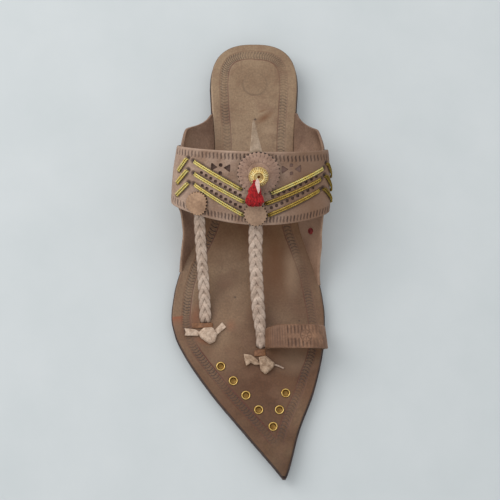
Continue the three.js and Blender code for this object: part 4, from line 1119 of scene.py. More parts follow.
def toe_loop():
    middle = (TOE_STRAP_FRONT + TOE_STRAP_REAR) / 2
    base_z = outsole_top(middle) + 2 * PIECE_GAP
    edge_x = sole_edge(HEEL_BACK - middle, MEDIAL, EAR_FOOT_SETBACK) - TOE_STRAP_WALL / 2
    half = (edge_x - TOE_STRAP_SLOT_X) / 2
    turn = np.linspace(0, math.pi, 900)
    bend = 2 / TOE_STRAP_FLATNESS
    x = TOE_STRAP_SLOT_X + half + half * np.sign(np.cos(turn)) * np.abs(np.cos(turn)) ** bend
    z = base_z + TOE_STRAP_RISE * np.abs(np.sin(turn)) ** bend
    bulge = np.sin(math.pi * np.clip((z - base_z) / TOE_STRAP_RISE, 0, 1))
    x = x + TOE_STRAP_FLARE * bulge * np.clip(np.cos(turn), 0, 1)
    lengths = np.append(0, np.cumsum(np.hypot(np.diff(x), np.diff(z))))
    s = np.linspace(0, lengths[-1], 330)
    x, z = np.interp(s, lengths, x), np.interp(s, lengths, z)
    tangent = unit(np.stack([np.gradient(x), np.gradient(x) * 0, np.gradient(z)], -1))
    normal = np.cross(tangent, [0, 1, 0])
    normal *= np.sign(normal[len(s) // 2, 2])
    y = np.linspace(TOE_STRAP_FRONT, TOE_STRAP_REAR, 52)
    across = y - TOE_STRAP_FRONT
    width = TOE_STRAP_REAR - TOE_STRAP_FRONT
    pressed = toe_loop_stamps(x[:, None], y[None, :], s[:, None]) * (0.85 + 0.15 * np.sin(s * 1.3))[:, None]
    edge = np.minimum(across, width - across)
    rounding = 0.6 * np.clip(1 - edge / 1.0, 0, 1) ** 2
    centre = np.stack([x, x * 0, z], -1)[:, None, :] + np.stack([y * 0, y, y * 0], -1)[None]
    outer_half = np.clip((x - TOE_STRAP_SLOT_X) / (2 * half), 0, 1)
    centre[..., 0] += TOE_STRAP_SHEAR * (TOE_STRAP_FRONT - y)[None, :] * outer_half[:, None]
    inner_end = 1 - smooth_step(11, 21, x)
    centre[..., 1] -= TOE_STRAP_CORNER * inner_end[:, None] * (across / width)[None, :]
    wave = smooth_noise(centre, 7.0, 12) * 0.12
    outer = centre + normal[:, None, :] * (TOE_STRAP_WALL / 2 - pressed * 0.45 - rounding + wave)[..., None]
    inner = centre - normal[:, None, :] * (TOE_STRAP_WALL / 2 - wave)[..., None]
    lean = TOE_STRAP_LEAN[0] + (TOE_STRAP_LEAN[1] - TOE_STRAP_LEAN[0]) * across / width
    for sheet in (outer, inner):
        sheet[..., 1] += lean * (base_z + TOE_STRAP_RISE - sheet[..., 2])
    # Darker towards the loop's inner end.
    soil_and_shade = (0.45 * (1 - smooth_step(16, 30, x)))[:, None]
    marks = {"stamp": (pressed * 0.85, 0.35), "soil_and_shade": (soil_and_shade, soil_and_shade)}
    finishes = [strap_leather, cut_leather]
    make_panel("toe_loop", (outer, inner), finishes, ["toe_strap"], marks)


toe_loop()

# %% [markdown]
# ## Plaits and cords with Geometry Nodes
# Flat strands are plaited in mirrored pairs round a flat core: a pair comes up in the middle, spreads over
# the top to both edges and goes back under, and the next pair comes up between them. That shows as a chain
# of overlapping arrowheads. The script lays out the centre line of every strand; a Geometry Nodes tree turns
# each line into leather. A second tree makes twisted cord, by turning a lobed profile as it goes along, for
# gold thread and wool. The trees mark the edges of a strand and the hollows of a cord, so the finishes can
# darken them as painted shade.

# %% Helpers for trees
def new_tree(name, inputs):
    tree = bpy.data.node_groups.new(name, "GeometryNodeTree")
    tree.interface.new_socket("Lines", in_out="INPUT", socket_type="NodeSocketGeometry")
    for label, kind in inputs:
        tree.interface.new_socket(label, in_out="INPUT", socket_type=kind)
    tree.interface.new_socket("Piece", in_out="OUTPUT", socket_type="NodeSocketGeometry")
    return tree, add_node(tree, "NodeGroupInput").outputs


def close_tree(tree, mesh, material):
    """Ends a tree: real geometry, smooth, with its finish."""
    smooth = add_node(tree, "GeometryNodeSetShadeSmooth", {"Geometry": mesh}).outputs[0]
    real = add_node(tree, "GeometryNodeRealizeInstances", {"Geometry": smooth}).outputs[0]
    done = add_node(tree, "GeometryNodeSetMaterial", {"Geometry": real, "Material": material}).outputs[0]
    add_node(tree, "NodeGroupOutput", {"Piece": done})


def girth_curve(tree, lines):
    """Curves from edges, with a radius that each point carries as girth."""
    curve = add_node(tree, "GeometryNodeMeshToCurve", {"Mesh": lines}).outputs[0]
    girth = add_node(tree, "GeometryNodeInputNamedAttribute", {"Name": "girth"}, data_type="FLOAT")
    inputs = {"Curve": curve, "Radius": girth.outputs["Attribute"]}
    return add_node(tree, "GeometryNodeSetCurveRadius", inputs).outputs[0]


def marked_profile(tree, profile, value):
    """Stores how dark each point of a profile is, for the finish to read as its stamp."""
    inputs = {"Geometry": profile, "Name": "stamp", "Value": value}
    stored = add_node(tree, "GeometryNodeStoreNamedAttribute", inputs, data_type="FLOAT", domain="POINT")
    return stored.outputs[0]


print("tree helpers ready")

# %% Trees that follow a path
def strand_tree():
    """A flat strand: an oval profile, kept level, along each line."""
    named = [("Width", "NodeSocketFloat"), ("Thickness", "NodeSocketFloat"), ("Finish", "NodeSocketMaterial")]
    tree, given = new_tree("flat_strand", named)
    curve = girth_curve(tree, given["Lines"])
    level = add_node(tree, "GeometryNodeSetCurveNormal", {"Curve": curve})
    level.mode = "Z_UP"
    circle = add_node(tree, "GeometryNodeCurvePrimitiveCircle", {"Resolution": 14, "Radius": 0.5}).outputs[0]
    place = add_node(tree, "GeometryNodeInputPosition").outputs[0]
    sideways = add_node(tree, "ShaderNodeSeparateXYZ", {"Vector": place}).outputs["X"]
    aside = calculate(tree, "ABSOLUTE", sideways)
    # Points near the profile's sides are marked darker: painted shade where the strands meet and dive under.
    circle = marked_profile(tree, circle, ranged(tree, aside, 0.36, 0.5, 0.0, 0.8))
    sizes = {"X": given["Width"], "Y": given["Thickness"], "Z": 1.0}
    scale = add_node(tree, "ShaderNodeCombineXYZ", sizes).outputs[0]
    oval = add_node(tree, "GeometryNodeTransform", {"Geometry": circle, "Scale": scale}).outputs[0]
    inputs = {"Curve": level.outputs[0], "Profile Curve": oval, "Fill Caps": True}
    close_tree(tree, add_node(tree, "GeometryNodeCurveToMesh", inputs).outputs[0], given["Finish"])
    return tree


def twist_tree():
    """Twisted cord: a lobed profile that turns as it goes along each line."""
    named = [
        ("Radius", "NodeSocketFloat"), ("Hollow", "NodeSocketFloat"), ("Strands", "NodeSocketInt"),
        ("Twist", "NodeSocketFloat"), ("Finish", "NodeSocketMaterial"),
    ]
    tree, given = new_tree("twisted_cord", named)
    curve = girth_curve(tree, given["Lines"])
    length = add_node(tree, "GeometryNodeSplineParameter").outputs["Length"]
    turn = calculate(tree, "MULTIPLY", length, given["Twist"])
    twisted = add_node(tree, "GeometryNodeSetCurveTilt", {"Curve": curve, "Tilt": turn}).outputs[0]
    radii = {"Inner Radius": given["Hollow"], "Outer Radius": given["Radius"]}
    star = add_node(tree, "GeometryNodeCurveStar", {"Points": given["Strands"], **radii})
    # Points in the profile's hollows are marked darker: painted shade between the twisted strands.
    hollow = calculate(tree, "SUBTRACT", 1.0, star.outputs["Outer Points"])
    profile = marked_profile(tree, star.outputs["Curve"], calculate(tree, "MULTIPLY", hollow, 0.6))
    inputs = {"Curve": twisted, "Profile Curve": profile, "Fill Caps": True}
    close_tree(tree, add_node(tree, "GeometryNodeCurveToMesh", inputs).outputs[0], given["Finish"])
    return tree


flat_strand = strand_tree()
twisted_cord = twist_tree()
print("trees:", flat_strand.name, twisted_cord.name)

# %% Growing a piece along its lines
def grow(name, lines, tree, values, replaces, girths=None):
    """Runs a tree along lines of millimetre points and keeps the result as a plain mesh."""
    carrier_mesh = bpy.data.meshes.new(name + "_lines")
    starts = np.append(0, np.cumsum([len(line) for line in lines]))
    edges = [(a + i, a + i + 1) for a, line in zip(starts, lines) for i in range(len(line) - 1)]
    carrier_mesh.from_pydata((np.concatenate(lines) * MM).tolist(), edges, [])
    layer = carrier_mesh.attributes.new("girth", "FLOAT", "POINT")
    layer.data.foreach_set("value", np.concatenate(girths) if girths else np.ones(starts[-1]))
    carrier = bpy.data.objects.new(name + "_lines", carrier_mesh)
    bpy.context.scene.collection.objects.link(carrier)
    modifier = carrier.modifiers.new("follow", "NODES")
    modifier.node_group = tree
    for item in tree.interface.items_tree:
        if item.in_out == "INPUT" and item.name in values:
            modifier[item.identifier] = values[item.name]
    evaluated = carrier.evaluated_get(bpy.context.evaluated_depsgraph_get())
    mesh = bpy.data.meshes.new_from_object(evaluated)
    carrier.modifiers.remove(modifier)
    bpy.data.objects.remove(carrier)
    mesh.name = name
    return join_sandal(bpy.data.objects.new(name, mesh), replaces)


def strand_sizes(width, thickness, finish):
    return {"Width": width * MM, "Thickness": thickness * MM, "Finish": finish}


def cord_sizes(radius, hollow, turns, finish):
    """Inputs of a three-strand cord, with its twist in turns to the metre."""
    sizes = {"Radius": radius * MM, "Hollow": hollow * MM, "Twist": turns * 2 * math.pi}
    return {**sizes, "Strands": 3, "Finish": finish}


print("growing helpers ready")

# %% The plaits
PLAITS = {
    "centre": {"around": -0.3, "bow": -1.3, "width": 8.8, "end_width": 4.2, "early": 0.3, "wall": 4.0},
    "side": {"around": -40.2, "bow": 0.0, "width": 6.8, "end_width": 8.4, "early": 0.7, "wall": 3.6},
}
# Mirrored pairs follow each other by a pitch in millimetres. In one step a strand runs so many pitches along
# the plait and turns so far round the core; the overlap is the part of a step under the pair before.
PAIR_PITCH, PAIR_REACH, PAIR_OVERLAP = 6.4, 1.5, 0.16
PAIR_TURN = 0.63 * math.pi
# A strand's shares of the plait's width, then of its thickness. The core is wider than a strand and is
# lifted by a share of the thickness.
STRAND_WIDTH, STRAND_SWING = 0.45, 0.33
STRAND_THICKNESS, STRAND_RISE = 0.38, 0.26
CORE_GIRTH, CORE_RISE = 1.25, 0.05


def between(t, start, end, first, second):
    """The point at t on the straight run from the first point, at start, to the second, at end."""
    return ((end - t) * first + (t - start) * second) / (end - start)


def smooth_path(knots, count):
    """A smooth path through points, evenly spaced, by centripetal Catmull-Rom."""
    knots = np.asarray(knots, float)
    ends = [2 * knots[0] - knots[1], *knots, 2 * knots[-1] - knots[-2]]
    line = []
    for p0, p1, p2, p3 in zip(ends, ends[1:], ends[2:], ends[3:]):
        t1 = np.linalg.norm(p1 - p0) ** 0.5
        t2 = t1 + np.linalg.norm(p2 - p1) ** 0.5
        t3 = t2 + np.linalg.norm(p3 - p2) ** 0.5
        t = np.linspace(t1, t2, 60)[:, None]
        a1, a2, a3 = between(t, 0, t1, p0, p1), between(t, t1, t2, p1, p2), between(t, t2, t3, p2, p3)
        b1, b2 = between(t, 0, t2, a1, a2), between(t, t1, t3, a2, a3)
        line.append(between(t, t1, t2, b1, b2))
    line = np.concatenate(line)
    steps = np.append(0, np.cumsum(np.linalg.norm(np.diff(line, axis=0), axis=1)))
    even = np.linspace(0, steps[-1], count)
    return np.stack([np.interp(even, steps, line[:, i]) for i in range(3)], -1), steps[-1]


def plait_path(name, count):
    spec = PLAITS[name]
    slot_x, slot_y = PLAIT_SLOTS[name]
    seat, wall = float(insole_top(slot_y)), spec["wall"]
    top = on_band(spec["around"], 0, -0.9) + (0, 1.4, -0.2)
    low = np.array([slot_x, slot_y + 7, seat + wall * 0.75])
    bend = np.array([slot_x, slot_y + 1.5, seat + wall * 0.28])
    end = np.array([slot_x, slot_y, seat - 2.0])
    return smooth_path([top, (top + low) / 2 + (spec["bow"], 0, -0.8), low, bend, end], count)


def plait(name):
    spec = PLAITS[name]
    path, length = plait_path(name, 900)
    tangent = unit(np.gradient(path, axis=0))
    sideways = unit(np.array([1.0, 0, 0]) - tangent * tangent[:, :1])
    up = np.cross(tangent, sideways)
    up = up * np.sign(up[:, 2:])
    t = np.linspace(0, 1, len(path))
    narrowed = spec["early"] * t + (1 - spec["early"]) * smooth_step(0.72, 0.97, t)
    width = spec["width"] + (spec["end_width"] - spec["width"]) * narrowed
    lines, girths = [path + up * CORE_RISE * spec["wall"]], [width / spec["width"] * CORE_GIRTH]
    q = np.linspace(0, 1.5, 26)
    turn = PAIR_TURN * q
    dive = np.clip(1 - q / PAIR_OVERLAP, 0, 1)
    rise = spec["wall"] * (STRAND_RISE * np.cos(turn) - 0.25 * dive**2)
    plump = (0.6 + 0.34 * np.abs(np.cos(turn))) * (1 - 0.25 * np.clip(1 - q / 0.3, 0, 1))
    for number, start in enumerate(np.arange(-PAIR_PITCH, length, PAIR_PITCH)):
        place = start + 0.5 * math.sin(2.3 * number) + (q - PAIR_OVERLAP) * PAIR_REACH * PAIR_PITCH
        inside = (place > 0) & (place < length)
        if inside.sum() < 4:
            continue
        at = np.round(place[inside] / length * (len(path) - 1)).astype(int)
        for side in (-1, 1):
            swing = STRAND_SWING + 0.02 * math.sin(number + side)
            aside = side * width[at] * swing * np.sin(turn)[inside]
            lifts = rise[inside] + 0.02 * side * spec["wall"]
            lines.append(path[at] + sideways[at] * aside[:, None] + up[at] * lifts[:, None])
            girths.append(width[at] / spec["width"] * plump[inside])
    sizes = strand_sizes(spec["width"] * STRAND_WIDTH, spec["wall"] * STRAND_THICKNESS, pale_leather)
    grow("plait_" + name, lines, flat_strand, sizes, ["braid_" + name], girths)


for plait_name in PLAITS:
    plait(plait_name)

# %% The gold cords
CORD_PAIR_GAP = 1.36
CORD_RADIUS = 0.7
CORD_HOLLOW = 0.62 * CORD_RADIUS
CORD_LIFT = 0.75
CORD_TURNS = 260
# The medial cords take the shaded copies of the gold thread: painted shade where the band turns from the
# light.
CORD_FINISHES = {
    "medial_middle": shaded_thread, "medial_front": shaded_thread, "medial_side_rear": deep_shaded_thread,
    "medial_side_middle": deep_shaded_thread, "medial_side_front": deep_shaded_thread,
}


def gold_cord(name, from_around, from_share, to_around, to_share):
    """Two twisted threads side by side, whose ends dive into the band."""
    t = np.linspace(-0.02, 1.02, 110)
    u = from_around + (to_around - from_around) * t
    share = from_share + (to_share - from_share) * t
    run = np.array([to_around - from_around, (to_share - from_share) * CROWN_WIDTH])
    along = run / np.linalg.norm(run)
    sag = 1.5 * (1 - smooth_step(-0.02, 0.04, np.minimum(t, 1 - t)))
    lines = []
    for way in (-1, 1):
        offset = way * CORD_PAIR_GAP / 2
        beside = share + along[0] * offset / CROWN_WIDTH
        lines.append(on_band(u - along[1] * offset, beside, BAND_WALL + CORD_LIFT - sag))
    sizes = cord_sizes(CORD_RADIUS, CORD_HOLLOW, CORD_TURNS, CORD_FINISHES.get(name, gold_thread))
    grow("thread_" + name, lines, twisted_cord, sizes, ["gold_cord_" + name])


for cord in GOLD_CORDS:
    gold_cord(*cord)

# %% [markdown]
# ## Round ornaments
# The medallion and two smaller discs are leather rounds cut with a pinking wheel, so their edges are rows
# of small teeth. They are built in rings on the band's surface, with scribed circles and ticks.

# %% The pinked rounds
STRAP_WALL = 1.4
DISC_WALL = 1.8
MEDALLION_LIFT = STRAP_WALL + 2 * PIECE_GAP
TOOTH_DEPTH = 1.1
TOOTH_POINTS = 10


def pinked_round(name, node, around, share, radius, squash, shear, teeth, lift, finish, ticked):
    """A leather round with a toothed edge, shaped to the band, over a darker one half a tooth round: painted
    shade between the teeth.
    """
    columns = teeth * TOOTH_POINTS
    angle = np.arange(columns) * 2 * math.pi / columns
    saw = np.abs((np.arange(columns) / TOOTH_POINTS) % 1 - 0.5) * 2
    reach = np.concatenate([np.linspace(0.02, 0.88, 40), [0.92, 0.95, 0.975, 1.0]])
    toothed = TOOTH_DEPTH * smooth_step(0.86, 1.0, reach)[:, None]
    sheets = []
    for notch in (saw, 1 - saw):
        r = radius * reach[:, None] - toothed * notch
        aside = r * squash * np.cos(angle)
        sheets.append((around + aside, share + (r * np.sin(angle) + shear * aside) / CROWN_WIDTH))
    (u, v), (low_u, low_v) = sheets
    scribed = np.zeros(u.shape)
    if ticked:
        outer_row = soft_line(reach - 0.82, 0.07)[:, None] ** 0.5
        inner_row = soft_line(reach - 0.58, 0.06)[:, None] ** 0.5
        outer_ticks = soft_line(np.sin(angle * teeth / 2), 0.45) * outer_row
        inner_ticks = soft_line(np.sin(angle * 10), 0.4) * inner_row
        circle = soft_line((reach - 0.52) * radius, 0.4)[:, None] * np.ones(columns)
        scribed = np.maximum.reduce([outer_ticks * 0.6, inner_ticks * 0.5, circle * 0.35])
    uneven = flat_noise(u, v * CROWN_WIDTH, 5.0, teeth) * 0.12
    rounding = 0.35 * smooth_step(0.95, 1.0, reach)[:, None]
    low = BAND_WALL + lift
    outer = on_band(u, v, low + DISC_WALL - scribed * 0.3 + uneven - rounding)
    inner = on_band(low_u, low_v, np.full(u.shape, low))
    points = np.concatenate([outer, inner[::-1]]).reshape(-1, 3)
    faces = ring_faces(2 * len(reach), columns)
    is_wall = np.arange(len(faces)) // columns == len(reach) - 1
    # The walls take the dark outsole leather and the lower round is marked darker, as painted shade between
    # the teeth.
    piece = make_piece(name, points, faces, [finish, outsole_leather], [node], is_wall)
    # Painted shade in the notches, and on the medallion's lower right side as the button's shadow; the
    # scribed circles and ticks are its own pattern.
    notch_shade = 0.5 * saw * smooth_step(0.93, 1.0, reach)[:, None]
    button_shadow_side = smooth_step(-0.1, 0.9, np.cos(angle + 0.6)) * smooth_step(0.3, 0.8, reach)[:, None]
    dark = np.maximum.reduce([scribed, notch_shade, button_shadow_side * (0.28 if ticked else 0)])
    mark(piece, "stamp", np.append(dark, np.full(dark.size, 0.5)))
    rubbed_and_lit = 0.3 * (1 - saw) * smooth_step(0.9, 1.0, reach)[:, None]
    mark(piece, "rub_and_light", np.append(rubbed_and_lit, np.zeros(rubbed_and_lit.size)))


# Each round is its names, its place around and across the band, radius, squash, shear, teeth, lift and
# finish, and whether it has ticks.
ROUNDS = [
    ("medallion_round", "medallion", 1.5, 0.715, 14.5, 0.94, 0, 30, MEDALLION_LIFT, round_leather, True),
    ("front_round", "disc_centre", -0.5, 0.15, 7.9, 1, 0, 21, MEDALLION_LIFT, front_leather, False),
    ("side_round", "disc_side", -38.7, 0.182, 8.9, 0.84, 0.4, 23, PIECE_GAP, disc_leather, False),
]
for round_row in ROUNDS:
    pinked_round(*round_row)

# %% [markdown]
# ## The brass button, eyelets and stud
# Small turned pieces. The button is a pressed dome with radial ridges and a curled middle, so its rings of
# points rise and fall with the angle. The eyelets are turned rings whose floor is darkened as painted shade,
# set into the insole's slope. The stud is a flat dome on the inside of an ear.

# %% The button
def band_frame(around, share, lift):
    """Three directions and a place on the band: around, towards the heel, and outward."""
    origin = on_band(around, share, lift)
    x = unit(on_band(around + 0.2, share, lift) - on_band(around - 0.2, share, lift))
    lengthways = on_band(around, share + 0.01, lift) - on_band(around, share - 0.01, lift)
    z = unit(np.cross(x, lengthways))
    return np.stack([x, np.cross(z, x), z]), origin


BUTTON_RADIUS, BUTTON_HEIGHT, BUTTON_RIDGES = 6.5, 4.0, 26
# Rows of share of the radius and share of the height.
BUTTON_PROFILE = [
    (0, 0.36), (0.07, 0.42), (0.16, 0.6), (0.38, 0.68), (0.47, 0.9), (0.53, 1.0), (0.62, 0.96), (0.8, 0.74),
    (0.93, 0.42), (1, 0.16),
]


def button():
    columns = BUTTON_RIDGES * 6
    angle = np.arange(columns) * 2 * math.pi / columns
    reach = np.concatenate([np.linspace(0.01, 1, 44), [1.0]])
    height = read_table(BUTTON_PROFILE, 1, reach) * BUTTON_HEIGHT
    height[-1] = 0
    ridged = smooth_step(0.54, 0.62, reach) * (1 - smooth_step(0.95, 1, reach))
    ridge = 0.3 * np.cos(BUTTON_RIDGES * angle) * ridged[:, None]
    z = height[:, None] + ridge
    z[-1] = 0
    r = (reach * BUTTON_RADIUS)[:, None] * np.ones(columns)
    flat = np.stack([r * np.cos(angle), r * np.sin(angle), z], -1).reshape(-1, 3)
    axes, origin = band_frame(1.5, 0.674, BAND_WALL + MEDALLION_LIFT + DISC_WALL + 2.2 * PIECE_GAP)
    points, faces = flat @ axes + origin, ring_faces(len(reach), columns)
    piece = make_piece("brass_button", points, faces, [button_gilt], ["button"], sharp=70)
    # Painted shade in the valleys between ridges, on the dish's right side and in the middle pit; the dish's
    # golden brown is its own.
    valley_shade = 0.7 * (0.5 - 0.5 * np.cos(BUTTON_RIDGES * angle)) * ridged[:, None]
    dish = (1 - smooth_step(0.4, 0.5, reach))[:, None] * (0.5 + 0.15 * np.cos(angle))
    pit_shade = (1 - smooth_step(0.09, 0.15, reach))[:, None]
    mark(piece, "stamp", np.clip(valley_shade + dish + pit_shade, 0, 1))


button()

# %% The eyelets and the stud
EYELET_PROFILE = [
    (0.4, -2.9), (2.36, -2.9), (2.4, 0.25), (2.96, 0.25), (3.0, 0.5), (2.9, 0.8), (2.7, 0.94), (2.5, 0.92),
    (2.28, 0.74), (2.08, 0.4), (1.94, 0.0), (1.7, -0.8), (0.4, -1.0),
]


def eyelets():
    for number, (x, y) in enumerate(EYELETS, 1):
        slope = float(insole_top(y + 1) - insole_top(y - 1)) / 2
        points, faces = lathe(EYELET_PROFILE, 40)
        cos, sin = unit(np.array([1.0, slope]))
        turn = np.array([[1, 0, 0], [0, cos, -sin], [0, sin, cos]])
        place = points @ turn.T + (x, y, float(insole_top(y)))
        ring = make_piece("eyelet_ring_%d" % number, place, faces, [brass], ["eyelet_%d" % number])
        # The eyelet's floor is darkened as painted shade.
        mark(ring, "stamp", 0.85 * (1 - smooth_step(0.1, 0.7, points[:, 2])))


STUD_PLACE = (19.5, 10.4)
STUD_PROFILE = [(0.02, 0), (2.15, 0), (2.2, 0.3), (2.0, 0.7), (1.3, 0.95), (0.02, 1.0)]


def red_stud():
    along, rise = STUD_PLACE
    turn = float(turn_at_rise(np.array(along), np.array(rise)))
    seat = lifted(MEDIAL, along, turn, -EAR_WALL - 0.1)
    inward = unit(lifted(MEDIAL, along, turn, -3) - lifted(MEDIAL, along, turn, 0))
    x = unit(np.cross([0.0, 1, 0], inward))
    axes = np.stack([x, np.cross(inward, x), inward])
    points, faces = lathe(STUD_PROFILE, 28)
    piece = make_piece("ear_stud", points @ axes + seat, faces, [stud_leather], ["red_stud"])
    mark(piece, "stamp", 0.7 * (1 - smooth_step(0.5, 1.6, np.hypot(points[:, 0], points[:, 1]))))


eyelets()
red_stud()

# %% [markdown]
# ## The pointed strap and the knots
# Both plaits end in flat leather knots with loose tails. A folded knot is a stack of thin flaps, so each
# knot is built from slabs: an outline filled by rings, with a rounded edge and a slightly crumpled top.

# %% The pointed strap
POINT_WIDTH, POINT_TIP_WIDTH = 9.2, 1.4
POINT_AROUND, POINT_TIP_OFFSET = 0.1, -2.0
POINT_PAST_EDGE = 21


def pointed_strap():
    tip_share = 1 + POINT_PAST_EDGE / CROWN_WIDTH
    share = np.linspace(0.02, tip_share, 120)[:, None]
    past = np.clip(share - 0.94, 0, None) / (tip_share - 0.94)
    half = (POINT_WIDTH + (POINT_TIP_WIDTH - POINT_WIDTH) * past) / 2
    across = np.linspace(-1, 1, 13)[None, :]
    u = POINT_AROUND + POINT_TIP_OFFSET * past + half * across
    share = share * np.ones_like(u)
    wave = flat_noise(u, share * CROWN_WIDTH, 6.0, 21) * 0.12
    rounding = 0.3 * smooth_step(0.75, 1.0, np.abs(across))
    low = BAND_WALL + PIECE_GAP
    outer = on_band(u, share, low + STRAP_WALL - rounding + wave)
    inner = on_band(u, share, np.full(u.shape, low))
    make_panel("pointed_strap", (outer, inner), [tip_leather, cut_leather], ["tip_strap"])


pointed_strap()

# %% The knots
# A flap's rings: share of the outline and share of the thickness.
FLAP_RINGS = [(0.94, 0), (1, 0.3), (1, 0.65), (0.97, 0.92), (0.86, 1), (0.66, 1), (0.44, 1), (0.2, 1)]


def slab(outline, base, wall, dome, seed):
    """A thin flap: a flat outline filled by rings, with a rounded edge and an uneven top."""
    corners = np.asarray(outline, float)
    closed = np.concatenate([corners, corners[:1]])
    steps = np.append(0, np.cumsum(np.linalg.norm(np.diff(closed, axis=0), axis=1)))
    even = np.linspace(0, steps[-1], 72, endpoint=False)
    rim = np.stack([np.interp(even, steps, closed[:, i]) for i in range(2)], -1)
    rim = sum(np.roll(rim, k, axis=0) for k in (-1, 0, 1)) / 3
    centre = rim.mean(axis=0)
    rings = []
    for reach, height in FLAP_RINGS:
        flat = centre + (rim - centre) * reach
        crumpled = flat_noise(*flat.T, 1.4, seed) * 0.5
        lift = dome * (1 - reach**2) + crumpled * (height > 0.5) * min(1, 1.4 - reach)
        rings.append(np.c_[flat, base(flat[:, 0], flat[:, 1]) + wall * height + lift * (height > 0)])
    return np.concatenate(rings), ring_faces(len(rings), len(rim))


def joined(parts):
    """Several meshes as one set of points and faces."""
    points, faces, start = [], [], 0
    for part_points, part_faces in parts:
        points.append(part_points)
        faces += [[start + i for i in face] for face in part_faces]
        start += len(part_points)
    return np.concatenate(points), faces


def on_insole(rise):
    return lambda x, y: insole_top(y) + rise


# Each flap is its outline, its height over the insole, its thickness and its dome.
SIDE_KNOT = [
    (
        [
            (-44.0, -50.2), (-37.0, -51.0), (-33.6, -52.6), (-34.4, -55.6), (-38.6, -55.4), (-43.8, -55.4),
            (-42.9, -52.9),
        ],
        0.25, 1.5, 0.5,
    ),
    ([(-24.4, -52.4), (-18.6, -46.0), (-15.8, -49.4), (-22.2, -55.0)], 0.25, 1.4, 0.3),
    (
        [
            (-34.8, -53.6), (-31.0, -50.0), (-25.0, -49.8), (-21.8, -54.0), (-23.2, -59.4), (-27.0, -61.2),
            (-32.8, -57.2),
        ],
        0.3, 2.6, 1.0,
    ),
    (
        [(-33.4, -55.2), (-30.0, -51.2), (-26.6, -53.6), (-25.2, -60.0), (-27.0, -60.9), (-32.6, -57.0)],
        2.6, 1.3, 0.5,
    ),
]
CENTRE_KNOT = [
    (
        [
            (-4.2, -67.6), (1.0, -68.6), (5.0, -71.6), (6.6, -75.2), (3.6, -75.4), (0.0, -73.6),
            (-2.4, -75.0), (-3.6, -72.4),
        ],
        0.3, 1.5, 0.6,
    ),
    ([(-3.6, -70.6), (-0.6, -71.4), (0.6, -74.0), (-2.6, -76.2)], 1.7, 1.0, 0.5),
    (
        [
            (5.8, -70.0), (10.6, -69.0), (16.6, -74.2), (15.6, -77.2), (10.4, -81.8), (7.0, -79.0),
            (6.2, -74.4),
        ],
        0.3, 2.6, 1.0,
    ),
    ([(6.4, -71.0), (10.0, -70.6), (12.0, -75.0), (10.6, -81.4), (7.4, -78.8), (6.6, -74.4)], 2.5, 1.3, 0.5),
]


def knot(name, node, flaps, finish):
    parts = []
    for seed, (outline, rise, wall, dome) in enumerate(flaps):
        parts.append(slab(outline, on_insole(rise), wall, dome, seed))
    points, faces = joined(parts)
    make_piece(name, points, faces, [finish], [node], sharp=60)


knot("knot_fold_side", "knot_side", SIDE_KNOT, knot_leather)
knot("knot_fold_centre", "knot_centre", CENTRE_KNOT, tan_knot)

# %% The bridges and the string
BRIDGES = {
    "side": [(-39.2, -46.6), (-25.0, -46.4), (-24.8, -49.9), (-38.8, -50.1)],
    "centre": [(3.0, -64.9), (10.4, -64.4), (10.6, -69.0), (2.8, -69.4)],
}
for side_name, outline in BRIDGES.items():
    points, faces = slab(outline, on_insole(0.05), 0.7, 0.35, 5)
    make_piece("bridge_" + side_name, points, faces, [bridge_leather], [], sharp=60)

string_knots = [
    (14.6, -75.0, insole_top(-75) + 1.4),
    (18.0, -75.6, insole_top(-75) + 1.3),
    (22.4, -77.4, insole_top(-77) + 0.8),
]
string_path, string_length = smooth_path(string_knots, 30)
string_sizes = strand_sizes(1.3, 0.8, pale_leather)
grow("knot_string", [string_path], flat_strand, string_sizes, [], [np.linspace(1.1, 0.6, 30)])
print("string: %.1f mm" % string_length)

# %% [markdown]
# ## The wool tassel
# A tuft of cut yarn hangs from the button over the medallion. Each yarn starts in the tied head and
# spreads to its own place in the flattened skirt; the twisted cord tree makes them all at once. A pale
# thong end lies over the head.

# %% The tassel
TASSEL_TOP, TASSEL_BOTTOM, TASSEL_FLATNESS = 2.4, 6.8, 0.62
YARNS, YARN_RADIUS, YARN_HOLLOW, YARN_TURNS = 420, 0.36, 0.27, 200
DISC_TOP = BAND_WALL + MEDALLION_LIFT + DISC_WALL + PIECE_GAP
BUTTON_TOP = BAND_WALL + MEDALLION_LIFT + DISC_WALL + BUTTON_HEIGHT + 3 * PIECE_GAP
chance = np.random.default_rng(11)


def tassel():
    start = on_band(-0.8, 0.605, BUTTON_TOP + TASSEL_TOP * TASSEL_FLATNESS)
    finish = on_band(-0.9, 0.29, DISC_TOP + TASSEL_BOTTOM * TASSEL_FLATNESS)
    axis = unit(finish - start)
    sideways = unit(np.array([1.0, 0, 0]) - axis * axis[0])
    up = -np.cross(sideways, axis)
    lines, girths = [], []
    for _ in range(YARNS):
        angle, reach = chance.uniform(0, 2 * math.pi), math.sqrt(chance.uniform(0.05, 1))
        t = np.linspace(-0.12, chance.uniform(0.92, 1.03) - 0.2 * reach**4, 12)
        opened = np.sin(QUARTER * np.clip(t, 0, 1)) ** 1.15
        swell = TASSEL_TOP * 0.5 + (TASSEL_BOTTOM - TASSEL_TOP * 0.5) * opened
        swell = swell + 0.7 * soft_line(t - 0.28, 0.16) - 0.5 * soft_line(t - 0.48, 0.12)
        bend = angle + 0.25 * np.sin(t * 4 + chance.uniform(0, 6)) * t
        r = swell * reach * 0.95
        centre = start + (finish - start) * t[:, None]
        across, height = r * np.cos(bend), r * np.sin(bend) * TASSEL_FLATNESS
        lines.append(centre + sideways * across[:, None] + up * height[:, None])
        girths.append(np.linspace(0.9, 1.05, 12))
    sizes = cord_sizes(YARN_RADIUS, YARN_HOLLOW, YARN_TURNS, red_wool)
    grow("tassel_yarns", lines, twisted_cord, sizes, ["tassel"], girths)


tassel()

